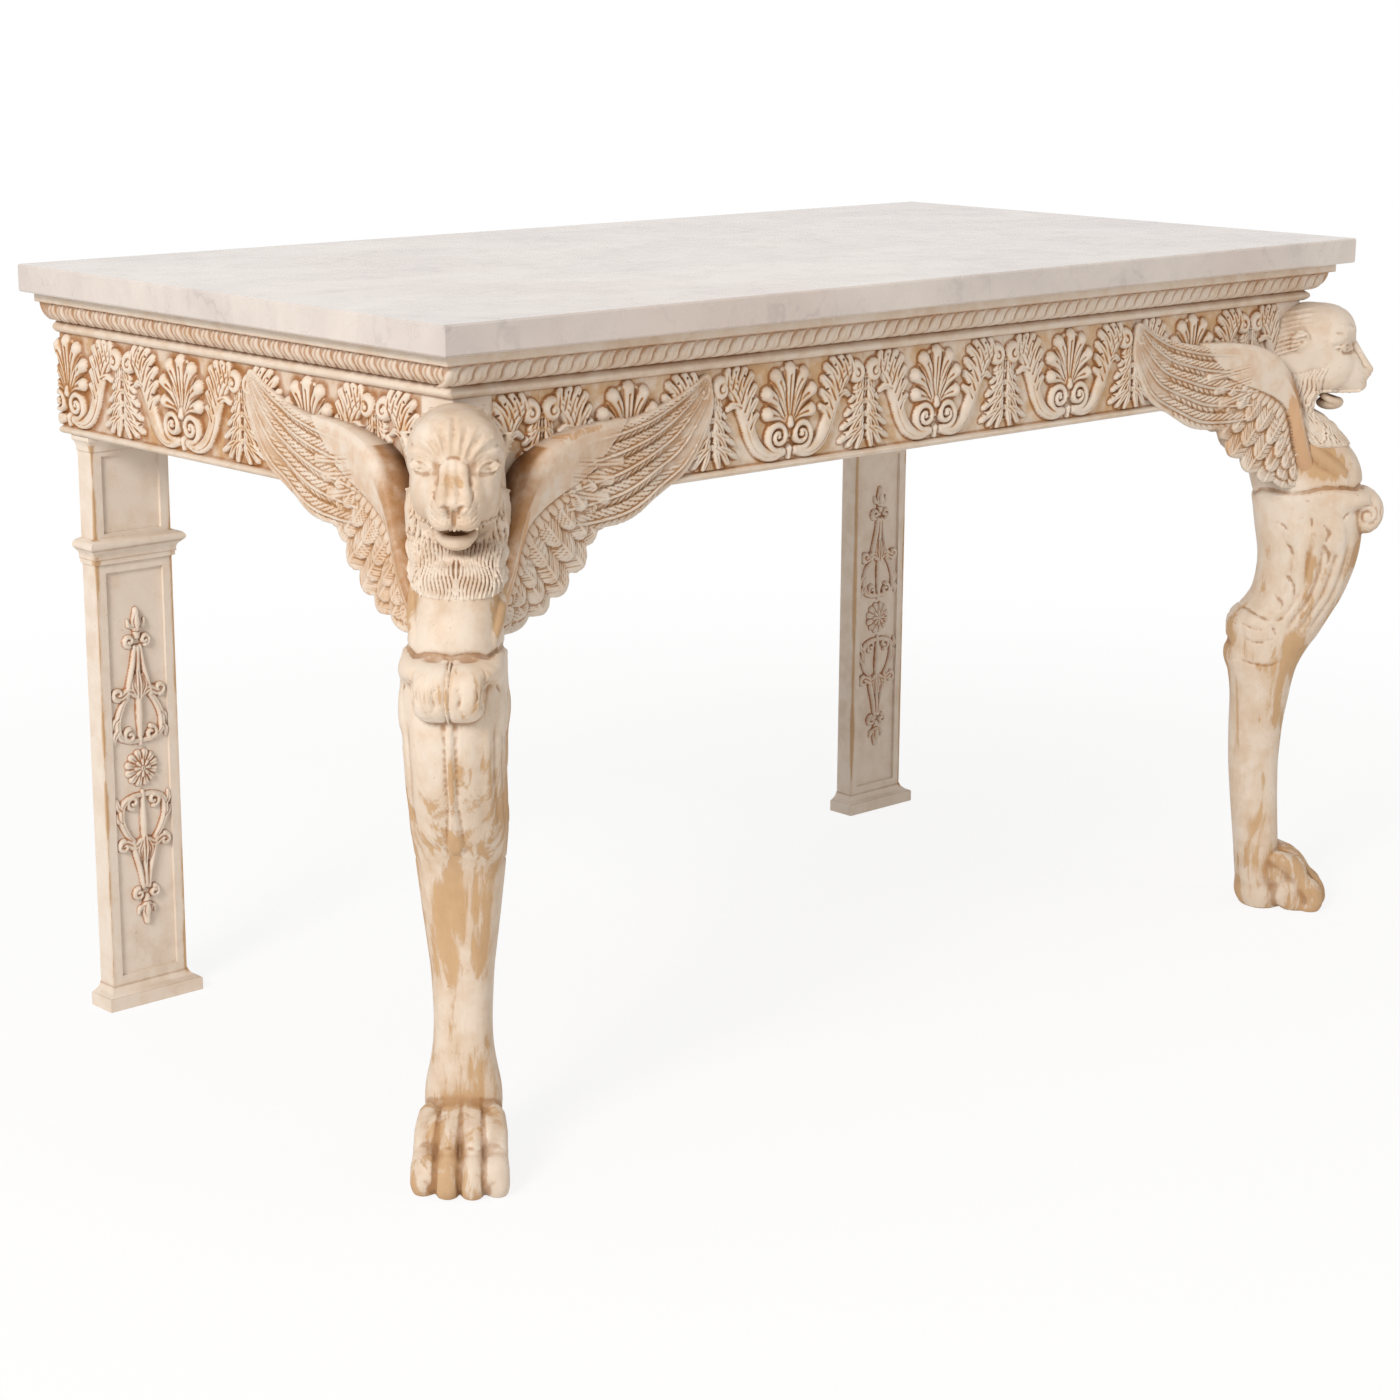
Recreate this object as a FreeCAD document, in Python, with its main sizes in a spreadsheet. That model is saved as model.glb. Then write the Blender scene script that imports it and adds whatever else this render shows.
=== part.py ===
import FreeCAD
import Part
import Sketcher
import math
import os

# Winged-lion pier table: +X along the length, -Y is the front, +Z is up, millimetres.
# Every piece is drawn about the centre of the marble slab and moved back by plan_shift,
# which puts the origin under the middle of the whole table on the floor.

doc = FreeCAD.newDocument("pier_table")
sheet = doc.addObject("Spreadsheet::Sheet", "Sizes")
sizes = (
    ("table_height", 914),
    ("top_length", 1524),
    ("top_depth", 798),
    ("top_thickness", 32),
    ("top_ease", 2),
    ("frieze_inset", 50),
    ("rear_inset", 5),
    ("rail_height", 170),
    ("rail_thickness", 28),
    ("cornice_height", 50),
    ("cornice_reach", 32),
    ("relief_depth", 7),
    ("bottom_bead_height", 10),
    ("palmette_pitch", 240),
    ("side_palmette_offset", 20),
    ("bearer_width", 70),
    ("bearer_thickness", 26),
    ("corner_block_side", 96),
    ("corner_block_height", 60),
    ("leg_bolt_diameter", 10),
    ("leg_bolt_length", 150),
    ("screw_diameter", 6),
    ("screw_length", 100),
    ("lion_reach", 100),
    ("lion_width", 108),
    ("scroll_overhang", 52),
    ("scroll_radius", 30),
    ("scroll_width", 72),
    ("wing_length", 346),
    ("wing_drop", 128),
    ("wing_thickness", 40),
    ("pilaster_width", 106),
    ("pilaster_depth", 30),
    ("pilaster_side_inset", 56),
    ("pilaster_rear_inset", 23),
    ("panel_margin", 13),
    ("panel_recess", 4),
    ("plinth_height", 28),
    ("plinth_reach", 14),
    ("cap_drop", 124),
    ("cap_height", 32),
    ("cap_reach", 13),
    ("neck_height", 20),
    ("neck_reach", 8),
    ("rosette_diameter", 50),
    ("ornament_width", 74),
    ("ornament_depth", 6),
    ("overrun", 40),
)
for row, (alias, number) in enumerate(sizes, start=1):
    sheet.set("A%d" % row, alias)
    sheet.set("B%d" % row, str(number))
    sheet.setAlias("B%d" % row, alias)
doc.recompute()

half = 0.5
diagonal_share = math.sqrt(half)


class Dim:
    """A length that knows its value and the sheet expression it comes from."""

    def __init__(self, value, text):
        self.value = value
        self.text = text

    def __add__(self, other):
        return Dim(self.value + other.value, "(%s + %s)" % (self.text, other.text))

    def __sub__(self, other):
        return Dim(self.value - other.value, "(%s - %s)" % (self.text, other.text))

    def __mul__(self, share):
        return Dim(self.value * share, "(%s * %.6f)" % (self.text, share))

    def __neg__(self):
        return Dim(-self.value, "(-1 * %s)" % self.text)


D = {alias: Dim(float(number), "Sizes." + alias) for alias, number in sizes}
none = D["top_length"] * 0.0

half_length = D["top_length"] * half
half_depth = D["top_depth"] * half
plan_shift = D["scroll_overhang"] * half
carcase_top = D["table_height"] - D["top_thickness"]
rail_base = carcase_top - D["rail_height"]
frieze_top = carcase_top - D["cornice_height"]
frieze_base = rail_base + D["bottom_bead_height"]
frieze_height = frieze_top - frieze_base
side_face = half_length - D["frieze_inset"]
front_face = -(half_depth - D["frieze_inset"])
rear_face = half_depth - D["rear_inset"]
inner_side = side_face - D["rail_thickness"]
inner_front = front_face + D["rail_thickness"]
inner_rear = rear_face - D["rail_thickness"]
lion_half = D["lion_width"] * half

x_axis = FreeCAD.Vector(1, 0, 0)
y_axis = FreeCAD.Vector(0, 1, 0)
z_axis = FreeCAD.Vector(0, 0, 1)
nodes = []


def bind(item, path, dim):
    item.setExpression(path, dim.text)


def place(item, x=none, y=none, z=none, turn=0.0, axis=z_axis):
    """Set a Placement whose base is bound to the sheet."""
    item.Placement = FreeCAD.Placement(
        FreeCAD.Vector(x.value, y.value, z.value), FreeCAD.Rotation(axis, turn))
    bind(item, "Placement.Base.x", x)
    bind(item, "Placement.Base.y", y)
    bind(item, "Placement.Base.z", z)


def keep(item, label):
    """Name a finished piece."""
    item.Label = label
    nodes.append(item)
    return item


def draw(sketch, points, arcs=None):
    """Closed outline; arcs gives the centre x of the arc that leaves a point."""
    arcs = arcs or {}
    count = len(points)
    ends = []
    for i in range(count):
        ax, ay = points[i][0].value, points[i][1].value
        bx, by = points[(i + 1) % count][0].value, points[(i + 1) % count][1].value
        start = FreeCAD.Vector(ax, ay, 0)
        stop = FreeCAD.Vector(bx, by, 0)
        if i not in arcs:
            sketch.addGeometry(Part.LineSegment(start, stop), False)
            ends.append((1, 2))
            continue
        cx = arcs[i].value
        mid_x, mid_y = (ax + bx) * half, (ay + by) * half
        cy = mid_y - (cx - mid_x) * (bx - ax) / (by - ay)
        radius = math.hypot(ax - cx, ay - cy)
        first = math.atan2(ay - cy, ax - cx)
        last = math.atan2(by - cy, bx - cx)
        forward = (last - first) % (2 * math.pi) < math.pi
        circle = Part.Circle(FreeCAD.Vector(cx, cy, 0), z_axis, radius)
        if forward:
            sketch.addGeometry(Part.ArcOfCircle(circle, first, last), False)
            ends.append((1, 2))
        else:
            sketch.addGeometry(Part.ArcOfCircle(circle, last, first), False)
            ends.append((2, 1))
    for i in range(count):
        follower = (i + 1) % count
        sketch.addConstraint(Sketcher.Constraint(
            "Coincident", i, ends[i][1], follower, ends[follower][0]))
    for i, (x, y) in enumerate(points):
        for kind, dim in (("DistanceX", x), ("DistanceY", y)):
            mark = sketch.addConstraint(Sketcher.Constraint(
                kind, -1, 1, i, ends[i][0], dim.value))
            bind(sketch, "Constraints[%d]" % mark, dim)
    for i, dim in arcs.items():
        mark = sketch.addConstraint(Sketcher.Constraint("DistanceX", -1, 1, i, 3, dim.value))
        bind(sketch, "Constraints[%d]" % mark, dim)


def plane_of(body, role):
    return [item for item in body.Origin.OriginFeatures if item.Role == role][0]


def padded(label, points, height, level):
    """A flat board: an outline seen from above, padded upward."""
    body = doc.addObject("PartDesign::Body", label)
    sketch = body.newObject("Sketcher::SketchObject", label + "_outline")
    sketch.AttachmentSupport = [(plane_of(body, "XY_Plane"), "")]
    sketch.MapMode = "FlatFace"
    draw(sketch, points)
    pad = body.newObject("PartDesign::Pad", label + "_pad")
    pad.Profile = sketch
    bind(pad, "Length", height)
    body.Tip = pad
    place(body, y=plan_shift, z=level)
    return body, pad


def rectangle(x0, x1, y0, y1):
    return [(x0, y0), (x1, y0), (x1, y1), (x0, y1)]


def loose(label, points, arcs=None, upright=None):
    """A sketch for an extrusion: plan, or standing across the X or Y axis."""
    sketch = doc.addObject("Sketcher::SketchObject", label)
    turns = {
        None: FreeCAD.Rotation(),
        "front": FreeCAD.Rotation(x_axis, 90),
        "side": FreeCAD.Rotation(FreeCAD.Vector(1, 1, 1), 120),
    }
    sketch.Placement = FreeCAD.Placement(FreeCAD.Vector(), turns[upright])
    draw(sketch, points, arcs)
    return sketch


def extruded(label, sketch, direction, length, back=None):
    bar = doc.addObject("Part::Extrusion", label)
    bar.Base = sketch
    bar.DirMode = "Custom"
    bar.Dir = direction
    bar.Solid = True
    bind(bar, "LengthFwd", length)
    if back is not None:
        bind(bar, "LengthRev", back)
    return bar


def combine(kind, label, first, second):
    item = doc.addObject("Part::" + kind, label)
    item.Base = first
    item.Tool = second
    return item


def fused(label, members):
    item = doc.addObject("Part::MultiFuse", label)
    item.Shapes = members
    return item


def block(label, lengths, base, turn=0.0):
    item = doc.addObject("Part::Box", label)
    for path, dim in zip(("Length", "Width", "Height"), lengths):
        bind(item, path, dim)
    place(item, *base, turn=turn)
    return item


def rod(label, diameter, height, base):
    item = doc.addObject("Part::Cylinder", label)
    bind(item, "Radius", diameter * half)
    bind(item, "Height", height)
    place(item, *base)
    return item


def egg(label, centre, radii):
    """An ellipsoid with its three half axes along X, Y and Z."""
    item = doc.addObject("Part::Ellipsoid", label)
    bind(item, "Radius1", radii[2])
    bind(item, "Radius2", radii[0])
    bind(item, "Radius3", radii[1])
    place(item, *centre)
    return item


def mirrored(label, source, base=None, normal=x_axis):
    item = doc.addObject("Part::Mirroring", label)
    item.Source = source
    item.Normal = normal
    if base is not None:
        bind(item, "Base.x", base[0])
        bind(item, "Base.y", base[1])
    return keep(item, label)


def formed(label, shape):
    item = doc.addObject("Part::Feature", label)
    item.Shape = shape
    return item


# Marble slab with eased edges.
slab, slab_pad = padded(
    "marble_top", rectangle(-half_length, half_length, -half_depth, half_depth),
    D["top_thickness"], carcase_top)
doc.recompute()
ease = slab.newObject("PartDesign::Chamfer", "marble_top_ease")
ease.Base = (slab_pad, ["Edge%d" % (i + 1) for i in range(len(slab_pad.Shape.Edges))])
bind(ease, "Size", D["top_ease"])
slab.Tip = ease
keep(slab, "marble_top")

# Four rails of the apron.
front_rail, pad = padded(
    "front_rail", rectangle(-side_face, side_face, front_face, inner_front),
    D["rail_height"], rail_base)
keep(front_rail, "front_rail")
rear_rail, pad = padded(
    "rear_rail", rectangle(-inner_side, inner_side, inner_rear, rear_face),
    D["rail_height"], rail_base)
keep(rear_rail, "rear_rail")
right_rail, pad = padded(
    "right_rail", rectangle(inner_side, side_face, inner_front, rear_face),
    D["rail_height"], rail_base)
keep(right_rail, "right_rail")
mirrored("left_rail", right_rail)

# Cornice: square fillet, ovolo with the carved leaves, quirk and astragal bead.
cornice_shares = (
    (0.0, 0.0), (1.0, 0.0), (1.0, 0.24), (0.80, 0.27), (0.42, 0.69),
    (0.22, 0.72), (0.14, 0.74), (0.14, 1.0), (0.0, 1.0))
cornice_arc_shares = {3: 0.30, 6: 0.10}


def cornice_profile(face, outward):
    reach = D["cornice_reach"] * outward
    points = [(face + reach * e, carcase_top - D["cornice_height"] * d)
              for e, d in cornice_shares]
    arcs = {i: face + reach * e for i, e in cornice_arc_shares.items()}
    return points, arcs


points, arcs = cornice_profile(front_face, -1)
front_bar = extruded(
    "front_cornice_bar", loose("front_cornice_profile", points, arcs, "side"),
    x_axis, half_length, half_length)
corner_x = side_face + D["cornice_reach"]
corner_y = front_face - D["cornice_reach"]
front_plan = extruded(
    "front_cornice_plan",
    loose("front_cornice_outline", [
        (-corner_x, corner_y), (corner_x, corner_y),
        (side_face, front_face), (-side_face, front_face)]),
    z_axis, D["table_height"])
front_cornice = combine("Common", "front_cornice", front_bar, front_plan)
place(front_cornice, y=plan_shift)
keep(front_cornice, "front_cornice")
points, arcs = cornice_profile(side_face, 1)
side_bar = extruded(
    "right_cornice_bar", loose("right_cornice_profile", points, arcs, "front"),
    y_axis, half_depth, half_depth)
side_plan = extruded(
    "right_cornice_plan",
    loose("right_cornice_outline", [
        (side_face, front_face), (corner_x, corner_y),
        (corner_x, rear_face), (side_face, rear_face)]),
    z_axis, D["table_height"])
right_cornice = combine("Common", "right_cornice", side_bar, side_plan)
place(right_cornice, y=plan_shift)
keep(right_cornice, "right_cornice")
mirrored("left_cornice", right_cornice)

# Half-round bead along the foot of the apron; it stops against the lions.
bead_root_share = 0.30
bead_step_share = 0.20
lion_stop_share = 0.46
lion_stop = D["lion_width"] * lion_stop_share


def bead_profile(face, outward):
    reach = D["relief_depth"] * outward
    root = face + reach * bead_root_share
    crown = face + reach
    step = D["bottom_bead_height"] * bead_step_share
    points = [(face, rail_base), (root, rail_base), (crown, rail_base + step),
              (crown, frieze_base - step), (root, frieze_base), (face, frieze_base)]
    return points


front_bead = extruded(
    "front_bottom_bead",
    loose("front_bead_profile", bead_profile(front_face, -1), None, "side"),
    x_axis, side_face - lion_stop, side_face - lion_stop)
place(front_bead, y=plan_shift)
keep(front_bead, "front_bottom_bead")
right_bead = extruded(
    "right_bottom_bead",
    loose("right_bead_profile", bead_profile(side_face, 1), None, "front"),
    y_axis, rear_face, -front_face - lion_stop)
place(right_bead, y=plan_shift)
keep(right_bead, "right_bottom_bead")
mirrored("left_bottom_bead", right_bead)

# Two bearers carry the slab between the long rails.
bearer_place_share = 0.34
bearer_mid = D["top_length"] * (bearer_place_share * half)
right_bearer, pad = padded(
    "right_bearer",
    rectangle(bearer_mid - D["bearer_width"] * half, bearer_mid + D["bearer_width"] * half,
              inner_front, inner_rear),
    D["bearer_thickness"], carcase_top - D["bearer_thickness"])
keep(right_bearer, "right_bearer")
mirrored("left_bearer", right_bearer)

# Corner blocks inside the apron, and the bolts and screws that hold the supports.
block_cut_share = 0.42
block_side = D["corner_block_side"]
bolt_edge_share = 1.1
bolt_x = inner_side - D["leg_bolt_diameter"] * bolt_edge_share
bolt_y = inner_front + D["leg_bolt_diameter"] * bolt_edge_share
block_top = rail_base + D["corner_block_height"]


def corner_block(label, corner, inward):
    """A glue block with a bevelled inner corner; inward is +1 at the front, -1 behind."""
    run = block_side * inward
    bevel = block_side * (block_cut_share * inward)
    x, y = corner
    points = [(x, y), (x, y + run), (x - block_side * block_cut_share, y + run),
              (x - block_side, y + bevel), (x - block_side, y)]
    if inward < 0:
        points.reverse()
    body, pad = padded(label, points, D["corner_block_height"], rail_base)
    return body


post_outer = half_length - D["pilaster_side_inset"]
post_inner = post_outer - D["pilaster_width"]
post_back = half_depth - D["pilaster_rear_inset"]
post_front = post_back - D["pilaster_depth"]
screw_edge_share = 1.4
screw_y = inner_rear - D["screw_diameter"] * screw_edge_share
screw_shares = (0.28, 0.62)
screw_xs = [post_outer - D["pilaster_width"] * share for share in screw_shares]
screw_base = block_top - D["screw_length"]


def bores(label, spots, diameter, depth, level):
    tools = [rod("%s_bore_%d" % (label, i), diameter, depth, (x, y, level))
             for i, (x, y) in enumerate(spots)]
    if len(tools) == 1:
        return tools[0]
    return fused(label + "_bores", tools)


front_blank = corner_block("right_front_block_blank", (inner_side, inner_front), 1)
bolt_spots = [(bolt_x, bolt_y + plan_shift)]
bolt_stand_share = 1.6
bolt_base = block_top - D["leg_bolt_length"] + D["leg_bolt_diameter"] * bolt_stand_share
bolt_tool = bores("leg_bolt", bolt_spots, D["leg_bolt_diameter"], D["leg_bolt_length"], bolt_base)
right_front_block = keep(
    combine("Cut", "right_front_block", front_blank, bolt_tool), "right_front_block")
mirrored("left_front_block", right_front_block)
rear_blank = corner_block("right_rear_block_blank", (inner_side, inner_rear), -1)
screw_spots = [(x, screw_y + plan_shift) for x in screw_xs]
screw_tool = bores("post_screw", screw_spots, D["screw_diameter"], D["screw_length"], screw_base)
right_rear_block = keep(
    combine("Cut", "right_rear_block", rear_blank, screw_tool), "right_rear_block")
mirrored("left_rear_block", right_rear_block)


def both_sides(label, make):
    """One node that holds the same small part on the right and on the left."""
    right = make()
    solids = right.Solids
    solids += right.mirror(FreeCAD.Vector(), x_axis).Solids
    return keep(formed(label, Part.makeCompound(solids)), label)


def point(x, y, z):
    return FreeCAD.Vector(x.value, y.value, z.value)


def leg_bolt():
    return Part.makeCylinder(
        D["leg_bolt_diameter"].value * half, D["leg_bolt_length"].value,
        point(bolt_x, bolt_y + plan_shift, bolt_base))


washer_share = 0.18
washer_wide_share = 2.0
screw_head_share = 0.9
nut_share = 0.80
nut_wide_share = 1.55
washer_height = D["leg_bolt_diameter"] * washer_share
nut_height = D["leg_bolt_diameter"] * nut_share


def leg_washer():
    base = point(bolt_x, bolt_y + plan_shift, block_top)
    outer = D["leg_bolt_diameter"].value * washer_wide_share * half
    inner = D["leg_bolt_diameter"].value * half
    disc = Part.makeCylinder(outer, washer_height.value, base)
    return disc.cut(Part.makeCylinder(inner, washer_height.value, base))


def leg_nut():
    base = point(bolt_x, bolt_y + plan_shift, block_top + washer_height)
    wide = D["leg_bolt_diameter"].value * nut_wide_share / math.sqrt(3)
    ring = [base + FreeCAD.Vector(wide * math.cos(k * math.pi / 3), wide * math.sin(k * math.pi / 3), 0)
            for k in range(7)]
    body = Part.Face(Part.makePolygon(ring)).extrude(z_axis * nut_height.value)
    return body.cut(Part.makeCylinder(D["leg_bolt_diameter"].value * half, nut_height.value, base))


def post_screw():
    shank = D["screw_diameter"].value * half
    head = D["screw_diameter"].value * screw_head_share
    rise = D["screw_diameter"].value * half
    parts = []
    for x in screw_xs:
        foot = point(x, screw_y + plan_shift, screw_base)
        body = Part.makeCylinder(shank, D["screw_length"].value, foot)
        cap = Part.makeCylinder(head, rise, foot + z_axis * D["screw_length"].value)
        parts.append(body.fuse(cap).removeSplitter())
    return Part.makeCompound(parts)


both_sides("leg_bolts", leg_bolt)
both_sides("leg_washers", leg_washer)
both_sides("leg_nuts", leg_nut)
both_sides("post_screws", post_screw)

# Rear pilaster: a panelled post on a moulded plinth, with a cap and a neck moulding.
post_height = rail_base - D["plinth_height"]
post = doc.addObject("PartDesign::Body", "right_post_body")
post_sketch = post.newObject("Sketcher::SketchObject", "right_post_outline")
post_sketch.AttachmentSupport = [(plane_of(post, "XZ_Plane"), "")]
post_sketch.MapMode = "FlatFace"
draw(post_sketch, rectangle(post_inner, post_outer, none, post_height))
post_pad = post.newObject("PartDesign::Pad", "right_post_pad")
post_pad.Profile = post_sketch
bind(post_pad, "Length", D["pilaster_depth"])
margin = D["panel_margin"]
foot_margin_share = 0.8
panel_foot = margin * foot_margin_share
cap_level = rail_base - D["cap_drop"]
cap_base = cap_level - D["cap_height"]
rosette_share = 0.511
ornament_share = 0.326
panel_height = cap_base - D["plinth_height"]
rosette_level = D["plinth_height"] + panel_height * rosette_share
ornament_length = panel_height * ornament_share
panels = (
    ("lower", panel_foot, cap_base - D["plinth_height"] - panel_foot),
    ("upper", cap_level - D["plinth_height"] + panel_foot * half,
     post_height - D["neck_height"] - panel_foot * half),
)
for name, low, high in panels:
    sunk_sketch = post.newObject("Sketcher::SketchObject", "right_post_%s_panel" % name)
    sunk_sketch.AttachmentSupport = [(plane_of(post, "XZ_Plane"), "")]
    sunk_sketch.MapMode = "FlatFace"
    sunk_sketch.setExpression("AttachmentOffset.Base.z", D["pilaster_depth"].text)
    draw(sunk_sketch, rectangle(post_inner + margin, post_outer - margin, low, high))
    sunk = post.newObject("PartDesign::Pocket", "right_post_%s_sink" % name)
    sunk.Profile = sunk_sketch
    bind(sunk, "Length", D["panel_recess"])
    post.Tip = sunk
place(post, y=post_back + plan_shift, z=D["plinth_height"])
right_post = keep(combine("Cut", "right_post", post, screw_tool), "right_post")
mirrored("left_post", right_post)


def moulded_ring(label, shares, arc_shares, low, rise, reach):
    """A moulding round three sides of the post, mitred at the corners, flush behind."""
    def edge(face, sign):
        return [(face + reach * (sign * e), low + rise * d) for e, d in shares]

    def centres(face, sign, offset, total):
        found = {}
        for i, e in arc_shares.items():
            index = i if offset == 0 else total - 2 - i
            found[index] = face + reach * (sign * e)
        return found

    count = len(shares)
    outer = edge(post_outer, 1)
    inner = edge(post_inner, -1)
    inner.reverse()
    arcs = centres(post_outer, 1, 0, 2 * count)
    arcs.update(centres(post_inner, -1, 1, 2 * count))
    across = extruded(
        label + "_across", loose(label + "_across_profile", outer + inner, arcs, "front"),
        y_axis, post_back, none)
    front = edge(post_front, -1)
    back = [(post_back, front[-1][1]), (post_back, front[0][1])]
    along = extruded(
        label + "_along",
        loose(label + "_along_profile", front + back, centres(post_front, -1, 0, 0), "side"),
        x_axis, half_length)
    solid = combine("Common", label + "_solid", across, along)
    core = block(
        label + "_core",
        (D["pilaster_width"], D["pilaster_depth"], D["table_height"]),
        (post_inner, post_front, none))
    ring = combine("Cut", label, solid, core)
    place(ring, y=plan_shift)
    return keep(ring, label)


cap_shares = ((0.0, 0.0), (0.25, 0.04), (0.25, 0.18), (0.62, 0.50), (0.72, 0.54), (0.72, 0.96), (0.0, 1.0))
cap_arc_shares = {2: 0.70, 4: 0.62}
moulded_ring("right_cap_moulding", cap_shares, cap_arc_shares, cap_base, D["cap_height"], D["cap_reach"])
mirrored("left_cap_moulding", doc.getObject("right_cap_moulding"))
neck_shares = ((0.0, 0.0), (0.18, 0.04), (0.85, 0.72), (1.0, 0.76), (1.0, 1.0), (0.0, 1.0))
neck_arc_shares = {1: 1.4}
moulded_ring("right_neck_moulding", neck_shares, neck_arc_shares,
             rail_base - D["neck_height"], D["neck_height"], D["neck_reach"])
mirrored("left_neck_moulding", doc.getObject("right_neck_moulding"))

plinth_base_share = 0.55
plinth_low = D["plinth_height"] * plinth_base_share
plinth_rise = D["plinth_height"] - plinth_low
foot_block = block(
    "right_plinth_block",
    (D["pilaster_width"] + D["plinth_reach"] + D["plinth_reach"],
     D["pilaster_depth"] + D["plinth_reach"], plinth_low),
    (post_inner - D["plinth_reach"], post_front - D["plinth_reach"], none))
slope = doc.addObject("Part::Wedge", "right_plinth_slope")
bind(slope, "Xmin", post_inner - D["plinth_reach"])
bind(slope, "Xmax", post_outer + D["plinth_reach"])
bind(slope, "X2min", post_inner)
bind(slope, "X2max", post_outer)
bind(slope, "Zmin", -post_back)
bind(slope, "Zmax", -(post_front - D["plinth_reach"]))
bind(slope, "Z2min", -post_back)
bind(slope, "Z2max", -post_front)
bind(slope, "Ymin", plinth_low)
bind(slope, "Ymax", D["plinth_height"])
slope.Placement = FreeCAD.Placement(FreeCAD.Vector(), FreeCAD.Rotation(x_axis, 90))
right_plinth = combine("Fuse", "right_plinth", foot_block, slope)
place(right_plinth, y=plan_shift)
keep(right_plinth, "right_plinth")
mirrored("left_plinth", right_plinth)


def prism(points, depth):
    """A flat piece of relief: an outline in X and Z, raised toward the front."""
    corners = [FreeCAD.Vector(x, 0, z) for x, z in points]
    face = Part.Face(Part.makePolygon(corners + corners[:1]))
    return face.extrude(FreeCAD.Vector(0, -depth, 0))


# Applied ornament of the pilaster: two candelabra that grow from a rosette.
candelabrum_shares = (
    (0.20, 0.00), (0.62, 0.03), (0.86, 0.12), (0.80, 0.23), (0.52, 0.33), (0.30, 0.37),
    (0.86, 0.40), (1.00, 0.46), (0.84, 0.52), (0.50, 0.50), (0.28, 0.58), (0.14, 0.74),
    (0.40, 0.77), (0.44, 0.83), (0.24, 0.86), (0.22, 0.94), (0.0, 1.0))
post_mid = (post_outer + post_inner) * half
panel_y = post_front + D["panel_recess"] + plan_shift
rosette_rows = 16
petal_shares = (0.86, 1.0)


def candelabrum(upward):
    wide = D["ornament_width"].value * half
    tall = ornament_length.value * upward
    start = rosette_level.value + D["rosette_diameter"].value * half * upward
    right = [(wide * a, start + tall * b) for a, b in candelabrum_shares]
    left = [(-x, z) for x, z in reversed(right[:-1])]
    solid = prism(right + left, D["ornament_depth"].value)
    solid.translate(FreeCAD.Vector(post_mid.value, panel_y.value, 0))
    return solid


def rosette():
    petals = []
    for k in range(rosette_rows * 2):
        radius = D["rosette_diameter"].value * half * petal_shares[k % 2]
        angle = math.pi * k / rosette_rows
        petals.append((radius * math.cos(angle), radius * math.sin(angle)))
    disc = prism(petals, D["ornament_depth"].value)
    disc.translate(FreeCAD.Vector(post_mid.value, panel_y.value, rosette_level.value))
    return disc


for label, shape in (("upper_candelabrum", candelabrum(1)), ("rosette", rosette()),
                     ("lower_candelabrum", candelabrum(-1))):
    source = keep(formed("right_" + label, shape), "right_" + label)
    mirrored("left_" + label, source)

# Carved frieze: palmettes in lyre arms, with a leaf drop between each pair.
lobes = 9
lobe_spread = 128.0
lobe_wide_share = 0.150
lobe_tall_share = 0.62
lobe_base_share = 0.34
tip_share = 1.14
arm_shares = (
    (0.128, 0.20, 0.012), (0.146, 0.28, 0.018), (0.122, 0.37, 0.018), (0.082, 0.33, 0.020),
    (0.066, 0.20, 0.020), (0.092, 0.10, 0.022), (0.150, 0.06, 0.026), (0.214, 0.13, 0.030),
    (0.252, 0.28, 0.036), (0.278, 0.48, 0.042), (0.306, 0.68, 0.046), (0.350, 0.84, 0.042),
    (0.410, 0.90, 0.034), (0.452, 0.82, 0.020))
drop_tiers = 4
drop_top_share = 0.66
drop_wide_share = 0.150
drop_neck_share = 0.62


def relief(edges):
    """Close a run of edges in X and Z and raise it toward the front."""
    face = Part.Face(Part.Wire(edges))
    return face.extrude(FreeCAD.Vector(0, -D["relief_depth"].value, 0))


def upright(x, z):
    return FreeCAD.Vector(x, 0, z)


def palmette():
    """A fan of lobes, each an arc from one valley to the next, on a pointed foot."""
    wide = D["palmette_pitch"].value * lobe_wide_share
    tall = frieze_height.value * lobe_tall_share * half
    middle = frieze_height.value * lobe_base_share + tall

    def rim(step, radius):
        angle = math.radians(lobe_spread) * (2.0 * step / lobes - 1.0)
        return upright(wide * radius * math.sin(angle), middle + tall * radius * math.cos(angle))

    edges = [Part.Arc(rim(k, 1.0), rim(k + half, tip_share), rim(k + 1, 1.0)).toShape()
             for k in range(lobes)]
    foot = upright(0.0, frieze_height.value * lobe_base_share * half)
    edges.append(Part.makeLine(rim(lobes, 1.0), foot))
    edges.append(Part.makeLine(foot, rim(0, 1.0)))
    return relief(edges)


def arm(side):
    """One stem of the lyre: a volute below, a stem that swells, a curl above."""
    pitch = D["palmette_pitch"].value
    tall = frieze_height.value
    path = [(a * pitch, b * tall, c * pitch) for a, b, c in arm_shares]
    outer, inner = [], []
    for i, (x, z, wide) in enumerate(path):
        ahead = path[min(i + 1, len(path) - 1)]
        behind = path[max(i - 1, 0)]
        run, rise = ahead[0] - behind[0], ahead[1] - behind[1]
        offset = wide * half / math.hypot(run, rise)
        outer.append(upright((x - rise * offset) * side, z + run * offset))
        inner.append(upright((x + rise * offset) * side, z - run * offset))
    edges = []
    for line in (outer, inner):
        curve = Part.BSplineCurve()
        curve.interpolate(line)
        edges.append(curve.toShape())
    edges.append(Part.makeLine(outer[0], inner[0]))
    edges.append(Part.makeLine(outer[-1], inner[-1]))
    return relief(Part.sortEdges(edges)[0])


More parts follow.
